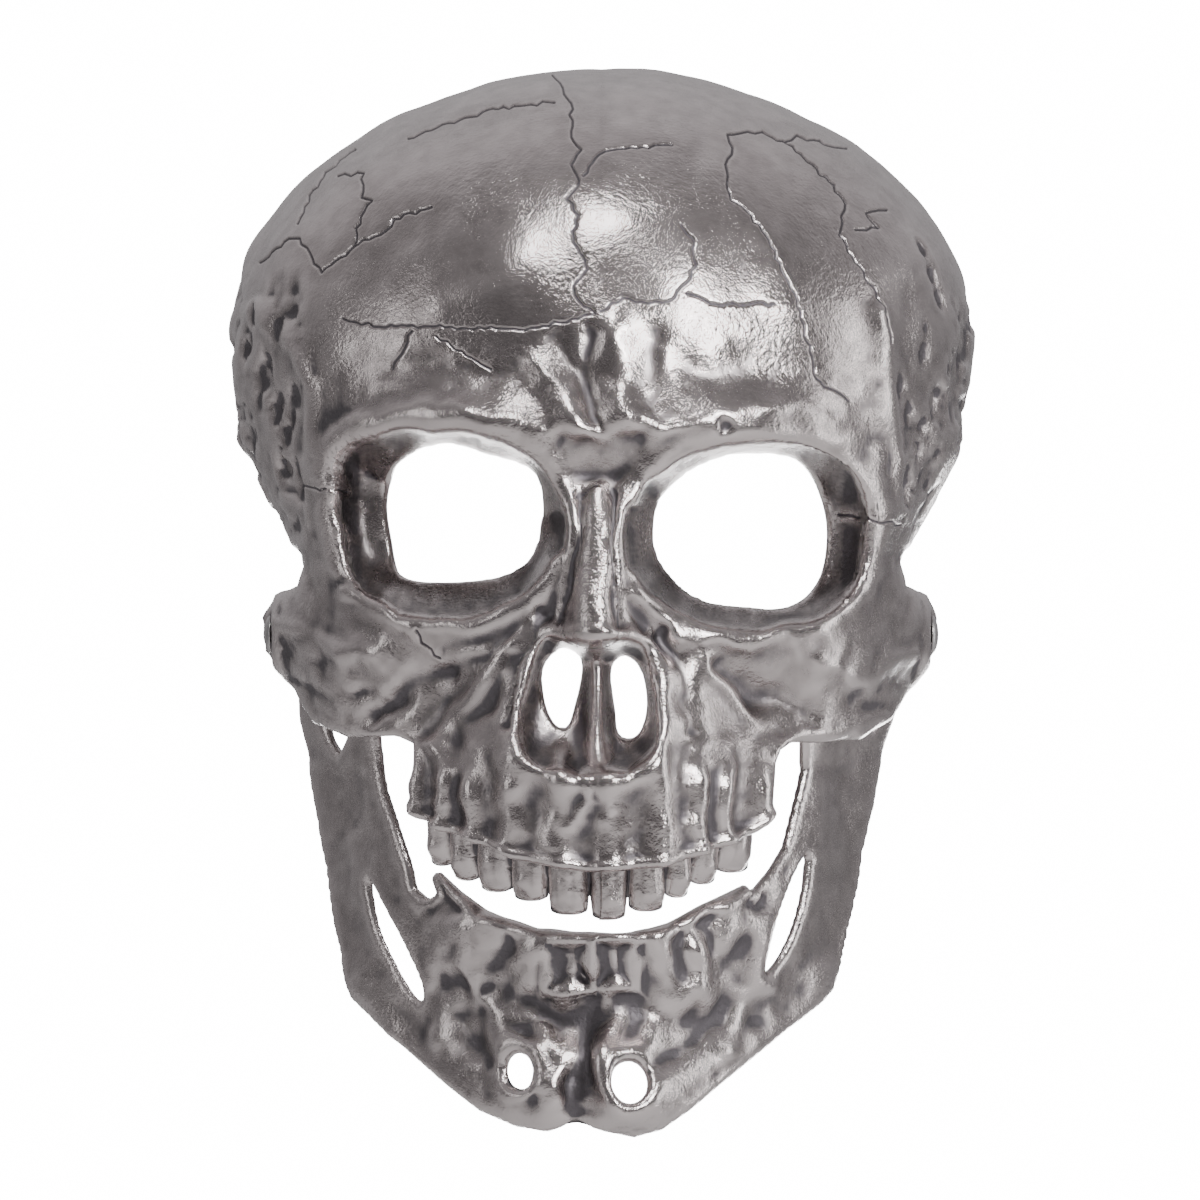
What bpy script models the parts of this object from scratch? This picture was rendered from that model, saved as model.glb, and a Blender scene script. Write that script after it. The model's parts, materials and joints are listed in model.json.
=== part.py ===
"""Rigid half-face skull mask with a hinged jaw, a tooth insert, pads and a head strap.

The face looks along -Y, +X is to the right of someone looking at it, and +Z is up.  The origin is
the wearer's eye level, on the midline, in the plane of the shell's rear rim.

The two big castings are made as a blank is pressed over a form: a flat grid is trimmed to its
outline in a flat layout plane, its cut edge is pulled onto the outline, and the sheet is then laid
over a form and given its wall.  Layout and form are in design millimetres of the nominal mask, and
the driving sizes stretch them to metres.
"""

import math

import bmesh
import bpy
import numpy as np
from mathutils import Matrix, Vector
from mathutils.bvhtree import BVHTree

# Driving sizes, in metres.
MASK_WIDTH = 0.182
MASK_HEIGHT = 0.257
SHELL_DEPTH = 0.112
WALL = 0.003
FIT_GAP = 0.0003
SHEET_STEP = 0.0030         # grid of the two castings' blanks
TOOTH_STEP = 0.0021         # grid of the tooth insert's blank
TOOTH_CLEARANCE = 0.0030    # between the shell's inner face and the tooth insert
SHELL_SHARE = 0.20          # share of its triangles that each casting keeps
JAW_SHARE = 0.25
TOOTH_SHARE = 0.5

# The jaw's hinge: a rivet on each side, along X.
HINGE_BACK = 0.030          # in front of the rear rim
HINGE_DROP = 0.027          # below eye level
RIVET_RADIUS = 0.0020
RIVET_HEAD_RADIUS = 0.0046
RIVET_HEAD_HEIGHT = 0.0014
WASHER_RADIUS = 0.0052
WASHER_THICKNESS = 0.0013
CLIP_RADIUS = 0.0042
CLIP_THICKNESS = 0.0012
RIVET_TAIL = 0.0008         # how far the rivet's end stands past its clip
SEAT_MARGIN = 0.0012        # flat seat beyond the washer
RUNNING_CLEARANCE = 0.0003
CUTTER_EXCESS = 0.004       # how far a drill stands past what it bores

# The head strap and what holds it.
STRAP_LEVEL = 0.046
STRAP_WIDTH = 0.024
STRAP_THICKNESS = 0.0016
STRAP_START = 0.022         # strap's front end, in front of the rear rim
STRAP_BACK = 0.052          # how far the strap bows behind the rear rim
STRAP_BEND = 0.040
STRAP_LEAN = math.radians(11.0)     # lean of the side walls at the anchors
ANCHOR_LENGTH = 0.016
ANCHOR_THICKNESS = 0.0020
ANCHOR_CLEARANCE = 0.0009
BUTTON_RADIUS = 0.0042
BUTTON_SHANK_RADIUS = 0.0016
BUTTON_HEIGHT = 0.0014
SLIDER_LENGTH = 0.016
SLIDER_WALL = 0.0020

# Foam pads.
PAD_THICKNESS = 0.007
PAD_CLEARANCE = 0.0016
BROW_PAD_HALF = (0.030, 0.012)
CROWN_PAD_HALF = (0.022, 0.009)
CHEEK_PAD_HALF = (0.007, 0.006)
CHIN_PAD_HALF = (0.018, 0.008)

# Design sizes of the nominal mask, in design millimetres, that the driving sizes stretch.
DESIGN_WIDTH = 182.0
DESIGN_HEIGHT = 257.0
DESIGN_DEPTH = 112.0
FORM_CENTRE = 20.0          # height of the form's pole above eye level
ARCH_SEAT = 79.5            # outer face of the cheekbone arches at the hinge
BLANK_HALF = 150.0          # half the layout plane that the shell and insert are cut from
JAW_BLANK_HALF = 160.0      # the same for the jaw
STRETCH = np.array([MASK_WIDTH / DESIGN_WIDTH, SHELL_DEPTH / DESIGN_DEPTH, MASK_HEIGHT / DESIGN_HEIGHT])


# ---------------------------------------------------------------- curves and distances

def smoothstep(t):
    t = np.clip(t, 0.0, 1.0)
    return t * t * (3.0 - 2.0 * t)


def hump(x, z, at, size):
    """A round hill of height 1 at a point, with its own width along X and Z."""
    return np.exp(-((x - at[0]) / size[0]) ** 2 - ((z - at[1]) / size[1]) ** 2)


def curve_through(points):
    """A smooth function of one number through (input, value) pairs, in rising order of input."""
    xs = np.array([p[0] for p in points], float)
    ys = np.array([p[1] for p in points], float)
    slopes = np.gradient(ys, xs)

    def read(value):
        value = np.clip(value, xs[0], xs[-1])
        span = np.clip(np.searchsorted(xs, value) - 1, 0, len(xs) - 2)
        width = xs[span + 1] - xs[span]
        t = (value - xs[span]) / width
        rise = t * t * (3.0 - 2.0 * t)
        leave = t * (1.0 - t) ** 2
        arrive = t * t * (t - 1.0)
        level = ys[span] + (ys[span + 1] - ys[span]) * rise
        return level + width * (leave * slopes[span] + arrive * slopes[span + 1])

    return read


def closed_curve(points, per_span=5):
    """Points on a smooth closed curve through the given corners."""
    corners = np.array(points, float)
    before = np.roll(corners, 1, axis=0)
    after = np.roll(corners, -1, axis=0)
    beyond = np.roll(corners, -2, axis=0)
    rows = []
    for t in np.arange(per_span) / per_span:
        rows.append(0.5 * (2.0 * corners + (after - before) * t
                           + (2.0 * before - 5.0 * corners + 4.0 * after - beyond) * t ** 2
                           + (3.0 * corners - before - 3.0 * after + beyond) * t ** 3))
    return np.stack(rows, axis=1).reshape(-1, 2)


def depth_inside(outline, x, z):
    """Distance to a closed outline: positive inside it, negative outside."""
    nearest = np.full(x.shape, 1e9)
    inside = np.zeros(x.shape, bool)
    for (ax, az), (bx, bz) in zip(outline, np.roll(outline, -1, axis=0)):
        ex, ez = bx - ax, bz - az
        along = np.clip(((x - ax) * ex + (z - az) * ez) / (ex * ex + ez * ez + 1e-12), 0.0, 1.0)
        nearest = np.minimum(nearest, np.hypot(x - ax - along * ex, z - az - along * ez))
        if az != bz:
            crosses = ((az > z) != (bz > z)) & (x < ex * (z - az) / ez + ax)
            inside ^= crosses
    return np.where(inside, nearest, -nearest)


# ---------------------------------------------------------------- outlines of the upper shell

EYE_HOLES = {
    "left": closed_curve([(-52, 5.5), (-49, 13.5), (-39, 18), (-28, 16), (-17, 11.5), (-15, 3.5),
                          (-18, -8), (-27, -13), (-40, -14), (-48.5, -12), (-51, -4)]),
    "right": closed_curve([(36, 15.5), (46, 14), (52, 7.5), (54.5, -2), (52.5, -13), (45, -19.3),
                           (33, -19.5), (22, -16.5), (14, -7), (14, 3), (20, 10), (28, 14.5)]),
}
ORBIT_RIMS = {
    "left": closed_curve([(-64, 15), (-52, 22.5), (-40, 22), (-27, 21), (-16, 15), (-9.5, 4.5),
                          (-10, -6), (-17, -17), (-32, -23), (-46, -23), (-58, -16), (-62.5, -5)]),
    "right": closed_curve([(9, 7), (15, 12), (23, 16.5), (37, 19), (52, 17), (62, 9.5), (64, -3),
                           (60.5, -17), (52, -24), (38, -26), (24, -24), (11, -16), (6, -7)]),
}
NOSE_RIM = closed_curve([(-13.5, -27.5), (-18, -37.5), (-20.5, -48), (-18.5, -56), (-11.5, -60),
                         (-2, -61), (7, -60), (13, -54), (13.5, -43), (11.5, -32), (6, -28), (-3, -29.5)])
NOSE_HOLES = {
    "left": closed_curve([(-8, -30.5), (-5.2, -33.5), (-6.2, -42), (-8, -48), (-11, -48), (-13.2, -43),
                          (-13.5, -36), (-11, -31.5)]),
    "right": closed_curve([(6, -32.5), (3, -35), (3.6, -45), (4.4, -50.5), (8, -50.5), (10.2, -44),
                           (9.4, -36)]),
}

# Lower edge of the cheeks, the upper jaw and the gum, from the left arch end to the right one.
FACE_LOWER_EDGE = [
    (-95, -31), (-84, -33), (-79, -36.5), (-74, -42), (-70, -48.5), (-61.5, -51.8), (-50, -51.3),
    (-45.6, -53), (-45, -58), (-46.4, -64), (-46.2, -69), (-38.6, -73.5), (-28.6, -77), (-20, -80.6),
    (-13, -82), (-3.6, -83.6), (6, -83.2), (15.5, -82), (28, -78), (36, -74.6), (40.8, -70.5),
    (41.6, -61), (42, -55), (45.5, -52.6), (53, -53), (63, -52.2), (70.5, -48), (74.5, -42),
    (79, -36.5), (84, -33), (95, -31)]
FACE = np.array(FACE_LOWER_EDGE + [(160, 40), (160, 160), (-160, 160), (-160, 40)], float)

# Tooth insert: the gap between neighbouring teeth, and each tooth's tip.
TOOTH_GAPS = [-47.0, -41.2, -34.9, -26.5, -16.2, -3.7, 7.9, 19.4, 26.3, 33.2, 41.4]
TOOTH_TIPS = [-83.5, -87.0, -89.5, -91.6, -95.0, -96.2, -94.2, -90.8, -87.6, -85.0]
TOOTH_SCALLOP = 2.6         # how far the edge rises between two tips
TOOTH_ROOT_LIFT = 6.0       # how far the insert reaches up behind the gum

# Silhouette radius of the form around its pole, against the tilt above the pole in degrees, and
# the flatter radius that the front of the face follows below the pole.
CROWN = [(0, 88.6), (6, 90.0), (12, 92.6), (18, 95.2), (28, 97.0), (40, 95.8), (54, 93.4), (70, 91.0),
         (90, 90.0)]
SOFT_RADIUS = curve_through([(-90, 230), (-80, 215), (-70, 180), (-60, 146), (-50, 119), (-40, 103),
                             (-30, 94), (-20, 89.5), (-10, 87.8)] + CROWN)
RIM_RADIUS = curve_through([(-90, 230), (-80, 215), (-70, 180), (-60, 146), (-50, 119), (-42, 104),
                            (-35, 97.5), (-29, 95.2), (-25.5, 88), (-22, 78.4), (-18, 79.8),
                            (-12, 82.4), (-6, 85.4)] + CROWN)


def orbit_cup(x, z, side):
    inward = depth_inside(ORBIT_RIMS[side], x, z)
    cup = 25.0 * (1.0 - np.exp(-np.maximum(inward, 0.0) / 6.0))
    lip = 2.2 * np.exp(-((inward + 2.0) / 3.5) ** 2)
    return lip - cup


def face_relief(x, z):
    """Forms of the face in front of the plain shell, in design millimetres."""
    relief = np.zeros_like(x)
    for side in (-1.0, 1.0):
        relief += 5.0 * hump(x, z, (side * 34.0, 25.0), (26.0, 8.0))
        relief += 7.0 * hump(x, z, (side * 60.0, -31.0), (15.0, 13.0))
        relief -= 8.0 * hump(x, z, (side * 36.0, -46.0), (11.0, 12.0))
        relief -= 4.0 * hump(x, z, (side * 80.0, 20.0), (10.0, 24.0))
    relief += 4.0 * hump(x, z, (0.0, 22.0), (13.0, 8.0))
    relief -= 3.0 * hump(x, z, (0.0, 11.0), (9.0, 5.0))
    bridge = smoothstep((16.0 - z) / 44.0) * smoothstep((z + 33.0) / 7.0)
    relief += 14.0 * bridge * np.exp(-(x / 8.5) ** 2)
    muzzle = smoothstep((-18.0 - z) / 45.0)
    relief += muzzle * (20.0 + 0.12 * np.maximum(-70.0 - z, 0.0)) * np.exp(-(np.abs(x) / 38.0) ** 2.6)
    relief += orbit_cup(x, z, "left") + orbit_cup(x, z, "right")
    inward = depth_inside(NOSE_RIM, x, z)
    septum = np.exp(-((x + 1.0) / 2.6) ** 2)
    relief -= (15.0 - 8.0 * septum) * (1.0 - np.exp(-np.maximum(inward, 0.0) / 3.5))
    relief += 1.5 * np.exp(-((inward + 1.6) / 2.4) ** 2)
    roots = smoothstep((-50.0 - z) / 12.0)
    for left, right in zip(TOOTH_GAPS, TOOTH_GAPS[1:]):
        centre = 0.5 * (left + right)
        relief += 1.1 * roots * np.exp(-((x - centre) / (0.34 * (right - left))) ** 2)
    return relief


def shell_form(u, v):
    """Layout plane to form: X, depth in front of the rear rim, Z, and the swing from the pole."""
    reach = np.maximum(np.hypot(u, v), 1e-6)
    tilt = np.degrees(np.arctan2(v, np.abs(u)))
    soft = SOFT_RADIUS(tilt)
    rim = RIM_RADIUS(tilt)
    swing = reach / soft
    capped = np.minimum(swing, 0.5 * math.pi)
    radius = soft + (rim - soft) * smoothstep((capped - 0.90) / 0.55)
    x = u / reach * radius * np.sin(capped)
    z = FORM_CENTRE + v / reach * radius * np.sin(capped)
    fullness = 0.04 + 0.26 * np.sin(np.radians(np.clip(tilt, 0.0, 90.0))) ** 2
    depth = DESIGN_DEPTH * np.cos(capped) * (1.0 + fullness * np.sin(capped) ** 2)
    fade = smoothstep((1.50 - capped) / 0.35)
    return x, depth + fade * face_relief(x, z), z, swing


ARCH_END = 18.0             # depth of the arch's rear end
NOTCH = (-25.3, -22.3, 1.12)  # tilt below, tilt above and the swing where the temple notch starts


def shell_margin(u, v):
    """How far a layout point is inside the upper shell's blank; negative in holes and outside."""
    x, depth, z, swing = shell_form(u, v)
    tilt = np.degrees(np.arctan2(v, np.abs(u)))
    reach = np.hypot(u, v)
    rim = (0.5 * math.pi - swing) * 90.0
    per_degree = math.radians(1.0) * reach
    notch = np.maximum(np.maximum((tilt - NOTCH[1]) * per_degree, (NOTCH[0] - tilt) * per_degree),
                       (NOTCH[2] - swing) * 90.0)
    arch = np.where(tilt < NOTCH[1] - 1.0, depth - ARCH_END, 100.0)
    margin = np.minimum(np.minimum(rim, notch), arch)
    margin = np.minimum(margin, depth_inside(FACE, x, z))
    for hole in list(EYE_HOLES.values()) + list(NOSE_HOLES.values()):
        margin = np.minimum(margin, -depth_inside(hole, x, z))
    return margin


def gum_level(x):
    edge = np.array(FACE_LOWER_EDGE[10:21], float)
    return np.interp(x, edge[:, 0], edge[:, 1])


def tooth_margin(u, v):
    """Blank of the tooth insert: a band behind the gum with a scalloped lower edge."""
    x, _, z, _ = shell_form(u, v)
    bottom = np.zeros(x.shape)
    for left, right, tip in zip(TOOTH_GAPS, TOOTH_GAPS[1:], TOOTH_TIPS):
        across = (2.0 * x - left - right) / (right - left)
        level = tip + TOOTH_SCALLOP * np.clip(np.abs(across), 0.0, 1.0) ** 4
        bottom = np.where(np.abs(across) <= 1.0, level, bottom)
    ends = np.minimum(x - TOOTH_GAPS[0], TOOTH_GAPS[-1] - x)
    return np.minimum(np.minimum(z - bottom, gum_level(x) + TOOTH_ROOT_LIFT - z), ends)


# ---------------------------------------------------------------- outlines of the lower jaw

# Half width of the jaw's form at each height, left and right.
JAW_LEFT = curve_through([(-150, 66), (-125, 69), (-112, 72), (-106, 72.5), (-97, 73.2), (-87, 73.6),
                          (-78, 74), (-68, 74.4), (-58, 75), (-49, 76.6), (-39, 76.8), (-28, 76.2), (-15, 76)])
JAW_RIGHT = curve_through([(-150, 61), (-125, 63), (-112, 66), (-106, 67), (-97, 68), (-87, 69),
                           (-78, 69.6), (-68, 70.6), (-58, 71.6), (-49, 74), (-39, 76.2), (-28, 76.2), (-15, 76)])
JAW_DEPTH = curve_through([(-150, 104), (-140, 110), (-128, 111), (-115, 108), (-98, 111), (-15, 111)])
JAW_REAR = curve_through([(-150, 60), (-110, 44), (-80, 33), (-40, 21), (-28, 20), (-15, 20)])

JAW_OUTLINE = np.array([
    (-95, -18.5), (-72.6, -18.5), (-71, -30), (-69, -42), (-66, -53), (-64, -55.8), (-62.4, -53),
    (-60.5, -46), (-57.5, -43.5), (-54.8, -47), (-54, -58), (-53, -64), (-50, -72.7), (-46.8, -82.3),
    (-45.6, -88), (-42.5, -90.6), (-40.2, -89.3), (-41.5, -85.4), (-40.2, -83.6), (-35, -88.3),
    (-28.6, -92.8), (-23.8, -94.6), (-15.6, -97), (-0.5, -98.2), (7.7, -98), (17, -95.8),
    (24.7, -91.8), (30.2, -89.4), (35.4, -87), (37, -88.8), (41.3, -83.8), (45, -77.8), (48, -66),
    (49.4, -60), (49.2, -50), (52.5, -44.5), (56, -43.5), (59.5, -47), (62, -51.5), (66, -50),
    (69, -42), (71, -30), (72.4, -18.5), (95, -18.5), (95, -106), (62.5, -106.5), (53, -116),
    (41, -125.6), (29, -135), (22, -141), (15, -146), (8, -147.8), (1, -146.4), (-6, -144.6),
    (-13, -146.2), (-21, -145.2), (-30, -141.2), (-38, -135), (-49, -125.6), (-59.5, -116),
    (-67.5, -108.5), (-95, -108)], float)
JAW_SLOTS = {
    "left": closed_curve([(-56.8, -86), (-53.2, -92), (-47.8, -102), (-43.6, -112), (-45, -115),
                          (-49.5, -109), (-55, -97.5)]),
    "right": closed_curve([(50.3, -80), (47.4, -84), (43.4, -94), (40, -107.5), (43, -106), (47.2, -98),
                           (49.8, -88)]),
}
CHIN_HOLES = {
    "left": ((-20.2, -130.8), (3.1, 3.8)),
    "right": ((6.8, -133.7), (4.4, 4.8)),
}
SOCKET_ROW = -104.5
SOCKETS = [-34, -26.5, -17.5, -7.5, 4.5, 14, 22, 29.5]


def jaw_relief(x, z):
    relief = np.zeros_like(x)
    relief += 5.0 * hump(x, z, (-14.0, -139.0), (13.0, 9.0))
    relief += 5.0 * hump(x, z, (10.0, -140.0), (12.0, 9.0))
    relief -= 3.0 * hump(x, z, (-5.0, -137.0), (5.0, 9.0))
    for (cx, cz), (rx, rz) in CHIN_HOLES.values():
        ring = np.hypot((x - cx) / (rx + 2.6), (z - cz) / (rz + 2.6))
        relief += 1.8 * np.exp(-((ring - 1.0) / 0.35) ** 2)
    for at in SOCKETS:
        relief += 2.0 * hump(x, z, (at, SOCKET_ROW + 0.004 * at * at), (3.6, 5.5))
    relief -= 3.0 * hump(x, z, (-3.0, -119.0), (26.0, 6.0))
    return relief


def jaw_form(u, v):
    """Layout plane of the jaw to form: along the bow, and height."""
    z = v
    half = np.where(u < 0.0, JAW_LEFT(z), JAW_RIGHT(z))
    turn = np.clip(u / half, -0.5 * math.pi, 0.5 * math.pi)
    x = half * np.sin(turn)
    bow = np.maximum(1.0 - np.abs(np.sin(turn)) ** 1.7, 0.0) ** 0.62
    tuck = 9.0 * smoothstep((z + 86.0) / 30.0) * smoothstep((np.abs(x) - 30.0) / 20.0)
    fade = smoothstep((1.40 - np.abs(turn)) / 0.4)
    depth = JAW_DEPTH(z) * bow + fade * (jaw_relief(x, z) - 0.35 * tuck)
    return x, depth, z, turn


EYE_ROOT = (28.0, -46.0)    # depth and height in the branch where the neck of the hinge eye starts


def hinge_eye(depth, z):
    """How far a place is inside the eye round the rivet, or its neck down into the branch."""
    hinge = np.array([HINGE_BACK, -HINGE_DROP])
    neck = np.array(EYE_ROOT) * STRETCH[1:] - hinge
    place = np.stack([depth, z], axis=-1) * STRETCH[1:] - hinge
    along = np.clip(place @ neck / (neck @ neck), 0.0, 1.0)
    away = np.linalg.norm(place - along[..., None] * neck, axis=-1)
    return (WASHER_RADIUS + SEAT_MARGIN - away) / STRETCH[2]


def jaw_margin(u, v):
    x, depth, z, _ = jaw_form(u, v)
    margin = np.minimum(depth_inside(JAW_OUTLINE, x, z), depth - JAW_REAR(z))
    margin = np.maximum(margin, hinge_eye(depth, z))
    for slot in JAW_SLOTS.values():
        margin = np.minimum(margin, -depth_inside(slot, x, z))
    for (cx, cz), (rx, rz) in CHIN_HOLES.values():
        ring = np.hypot((x - cx) / rx, (z - cz) / rz)
        margin = np.minimum(margin, (ring - 1.0) * min(rx, rz))
    return margin


# ---------------------------------------------------------------- sheet work

def trimmed_blank(margin, half_size, grid):
    """A flat grid cut to a blank's outline, with its edge pulled onto the outline."""
    step = grid * 1000.0
    bm = bmesh.new()
    cells = int(2 * half_size / step)
    bmesh.ops.create_grid(bm, x_segments=cells, y_segments=cells, size=half_size)
    faces = list(bm.faces)
    middles = np.array([face.calc_center_median()[:2] for face in faces])
    keep = margin(middles[:, 0], middles[:, 1])
    scrap = [face for face, inside in zip(faces, keep) if inside < 0.0]
    bmesh.ops.delete(bm, geom=scrap, context="FACES")
    pinched = True
    while pinched:
        pinched = [vert for vert in bm.verts if sum(edge.is_boundary for edge in vert.link_edges) > 2]
        corners = {vert.link_faces[0] for vert in pinched}
        bmesh.ops.delete(bm, geom=list(corners), context="FACES")
    edge_verts = [vert for vert in bm.verts if vert.is_boundary]
    spots = np.array([vert.co[:2] for vert in edge_verts])
    nudge = 0.02
    for _ in range(5):
        here = margin(spots[:, 0], spots[:, 1])
        slope_u = (margin(spots[:, 0] + nudge, spots[:, 1]) - here) / nudge
        slope_v = (margin(spots[:, 0], spots[:, 1] + nudge) - here) / nudge
        steep = np.maximum(slope_u ** 2 + slope_v ** 2, 0.2)
        move = np.stack([here * slope_u, here * slope_v], axis=1) / steep[:, None]
        length = np.maximum(np.linalg.norm(move, axis=1, keepdims=True), 1e-9)
        spots -= move * np.minimum(1.0, 0.5 * step / length)
    for vert, (u, v) in zip(edge_verts, spots):
        vert.co = (u, v, 0.0)
    inner = [vert for vert in bm.verts if not vert.is_boundary]
    for _ in range(3):
        bmesh.ops.smooth_vert(bm, verts=inner, factor=0.5, use_axis_x=True, use_axis_y=True)
    return bm


def lay_over(bm, form, wall, inset=0.0, flats=()):
    """Lays a blank over its form and gives it its wall, inwards.

    flats are (side, x, y, z, radius): round seats pressed flat across X for a rivet."""
    bm.verts.ensure_lookup_table()
    layout = np.array([vert.co[:2] for vert in bm.verts])
    x, depth, z, _ = form(layout[:, 0], layout[:, 1])
    points = np.stack([x, -depth, z], axis=1) * STRETCH
    for side, seat, at_y, at_z, radius in flats:
        away = np.hypot(points[:, 1] - at_y, points[:, 2] - at_z)
        press = (1.0 - smoothstep((away - radius) / radius)) * (points[:, 0] * side > 0.0)
        points[:, 0] += (side * seat - points[:, 0]) * press
    for vert, point in zip(bm.verts, points):
        vert.co = point
    bmesh.ops.triangulate(bm, faces=bm.faces[:])
    bm.normal_update()
    if sum(face.normal.y for face in bm.faces) > 0.0:
        bmesh.ops.reverse_faces(bm, faces=bm.faces[:])
        bm.normal_update()
    if inset:
        shifts = [vert.normal * -inset for vert in bm.verts]
        for vert, shift in zip(bm.verts, shifts):
            vert.co += shift
        bm.normal_update()
    give_wall(bm, wall)


def give_wall(bm, wall):
    """Closes an open sheet with an inner face one wall behind it."""
    outer = list(bm.verts)
    normals = [vert.normal.copy() for vert in outer]
    rims = [(edge.link_loops[0].vert, edge.link_loops[0].link_loop_next.vert)
            for edge in bm.edges if edge.is_boundary]
    copy = bmesh.ops.duplicate(bm, geom=outer + list(bm.edges) + list(bm.faces))
    twin = copy["vert_map"]
    for vert, normal in zip(outer, normals):
        twin[vert].co = vert.co - normal * wall
    bmesh.ops.reverse_faces(bm, faces=[item for item in copy["geom"] if isinstance(item, bmesh.types.BMFace)])
    for start, end in rims:
        bm.faces.new((end, start, twin[start], twin[end]))
    bmesh.ops.triangulate(bm, faces=bm.faces[:])


# ---------------------------------------------------------------- objects and materials

def material(name, colour, roughness, metallic=0.0):
    made = bpy.data.materials.get(name)
    if made is None:
        made = bpy.data.materials.new(name)
        made.use_nodes = True
        shader = made.node_tree.nodes["Principled BSDF"]
        shader.inputs["Base Color"].default_value = (*colour, 1.0)
        shader.inputs["Roughness"].default_value = roughness
        shader.inputs["Metallic"].default_value = metallic
    return made


def cast_metal():
    return material("cast_metal", (0.16, 0.145, 0.15), 0.32, 1.0)


def steel():
    return material("rivet_steel", (0.35, 0.34, 0.34), 0.3, 1.0)


def foam():
    return material("pad_foam", (0.02, 0.02, 0.022), 0.95)


def webbing():
    return material("strap_webbing", (0.015, 0.015, 0.017), 0.85)


def nylon():
    return material("slider_nylon", (0.02, 0.02, 0.02), 0.45)


def add_object(name, bm, finish, origin=(0.0, 0.0, 0.0), smooth=True):
    """Makes a named object from a mesh in world places, with its origin at the given point."""
    bmesh.ops.translate(bm, verts=bm.verts[:], vec=-Vector(origin))
    mesh = bpy.data.meshes.new(name)
    bm.to_mesh(mesh)
    bm.free()
    if smooth:
        mesh.shade_smooth()
        mesh.set_sharp_from_angle(angle=math.radians(40.0))
    mesh.materials.append(finish)
    made = bpy.data.objects.new(name, mesh)
    bpy.context.scene.collection.objects.link(made)
    made.location = origin
    return made


def add_disc_stack(bm, axis, centre, turns):
    """A closed turned piece: (distance along the axis, radius) pairs, from end to end."""
    turn = Vector((0.0, 0.0, 1.0)).rotation_difference(Vector(axis)).to_matrix().to_4x4()
    place = Matrix.Translation(centre) @ turn
    sides = 24
    rings = []
    for along, radius in turns:
        ring = bmesh.ops.create_circle(bm, segments=sides, radius=radius,
                                       matrix=place @ Matrix.Translation((0.0, 0.0, along)))
        rings.append(ring["verts"])
    for lower, upper in zip(rings, rings[1:]):
        for k in range(sides):
            after = (k + 1) % sides
            bm.faces.new((lower[k], lower[after], upper[after], upper[k]))
    bm.faces.new(list(reversed(rings[0])))
    bm.faces.new(rings[-1])
    bmesh.ops.recalc_face_normals(bm, faces=bm.faces[:])


def add_ring(bm, axis, centre, inner, outer, thickness):
    """A flat washer from its centre plane's start, along the axis."""
    turn = Vector((0.0, 0.0, 1.0)).rotation_difference(Vector(axis)).to_matrix().to_4x4()
    place = Matrix.Translation(centre) @ turn
    start = [bm.verts.new(place @ Vector((radius, 0.0, along)))
             for radius, along in ((inner, 0.0), (outer, 0.0), (outer, thickness), (inner, thickness))]
    edges = [bm.edges.new((start[k], start[(k + 1) % 4])) for k in range(4)]
    bmesh.ops.spin(bm, geom=edges, cent=place.translation, axis=Vector(axis), angle=2.0 * math.pi,
                   steps=24, use_merge=True)
    bmesh.ops.recalc_face_normals(bm, faces=bm.faces[:])


def cut_with(target, name, bm):
    """Cuts a solid out of a piece with a Boolean that stays on it."""
    cutter = add_object(name, bm, steel(), smooth=False)
    cutter.hide_render = True
    cutter.display_type = "WIRE"
    cut = target.modifiers.new(name, "BOOLEAN")
    cut.operation = "DIFFERENCE"
    cut.solver = "EXACT"
    cut.object = cutter


# ---------------------------------------------------------------- places of the hinge

def hinge_stack():
    """X of each layer of the hinge, from the arch's outer seat inwards."""
    seat = ARCH_SEAT * STRETCH[0]
    arch_inner = seat - WALL
    washer_outer = arch_inner - FIT_GAP
    tab_outer = washer_outer - WASHER_THICKNESS - FIT_GAP
    tab_inner = tab_outer - WALL
    clip_outer = tab_inner - FIT_GAP
    return {"seat": seat, "washer": washer_outer, "tab": tab_outer, "clip": clip_outer}


STACK = hinge_stack()
HINGE_Y = -HINGE_BACK
HINGE_Z = -HINGE_DROP
SIDES = {"left": -1.0, "right": 1.0}


def hinge_bore(name, target):
    for label, side in SIDES.items():
        bm = bmesh.new()
        centre = (side * (STACK["clip"] - CUTTER_EXCESS), HINGE_Y, HINGE_Z)
        reach = STACK["seat"] - STACK["clip"] + 3.0 * CUTTER_EXCESS
        radius = RIVET_RADIUS + RUNNING_CLEARANCE
        add_disc_stack(bm, (side, 0.0, 0.0), centre, [(0.0, radius), (reach, radius)])
        cut_with(target, name + "_bore_" + label, bm)


def thin_out(target, share):
    """Spends triangles only where the form bends."""
    thin = target.modifiers.new("thin_out", "DECIMATE")
    thin.ratio = share


# ---------------------------------------------------------------- the pieces

def make_skull_shell():
    bm = trimmed_blank(shell_margin, BLANK_HALF, SHEET_STEP)
    seats = [(side, STACK["seat"], HINGE_Y, HINGE_Z, WASHER_RADIUS + SEAT_MARGIN) for side in SIDES.values()]
    lay_over(bm, shell_form, WALL, flats=seats)
    shell = add_object("skull_shell", bm, cast_metal())
    thin_out(shell, SHELL_SHARE)
    hinge_bore("skull_shell", shell)
    return shell


def make_tooth_row():
    bm = trimmed_blank(tooth_margin, BLANK_HALF, TOOTH_STEP)
    lay_over(bm, shell_form, WALL, inset=WALL + TOOTH_CLEARANCE)
    row = add_object("upper_tooth_row", bm, cast_metal())
    thin_out(row, TOOTH_SHARE)


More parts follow.
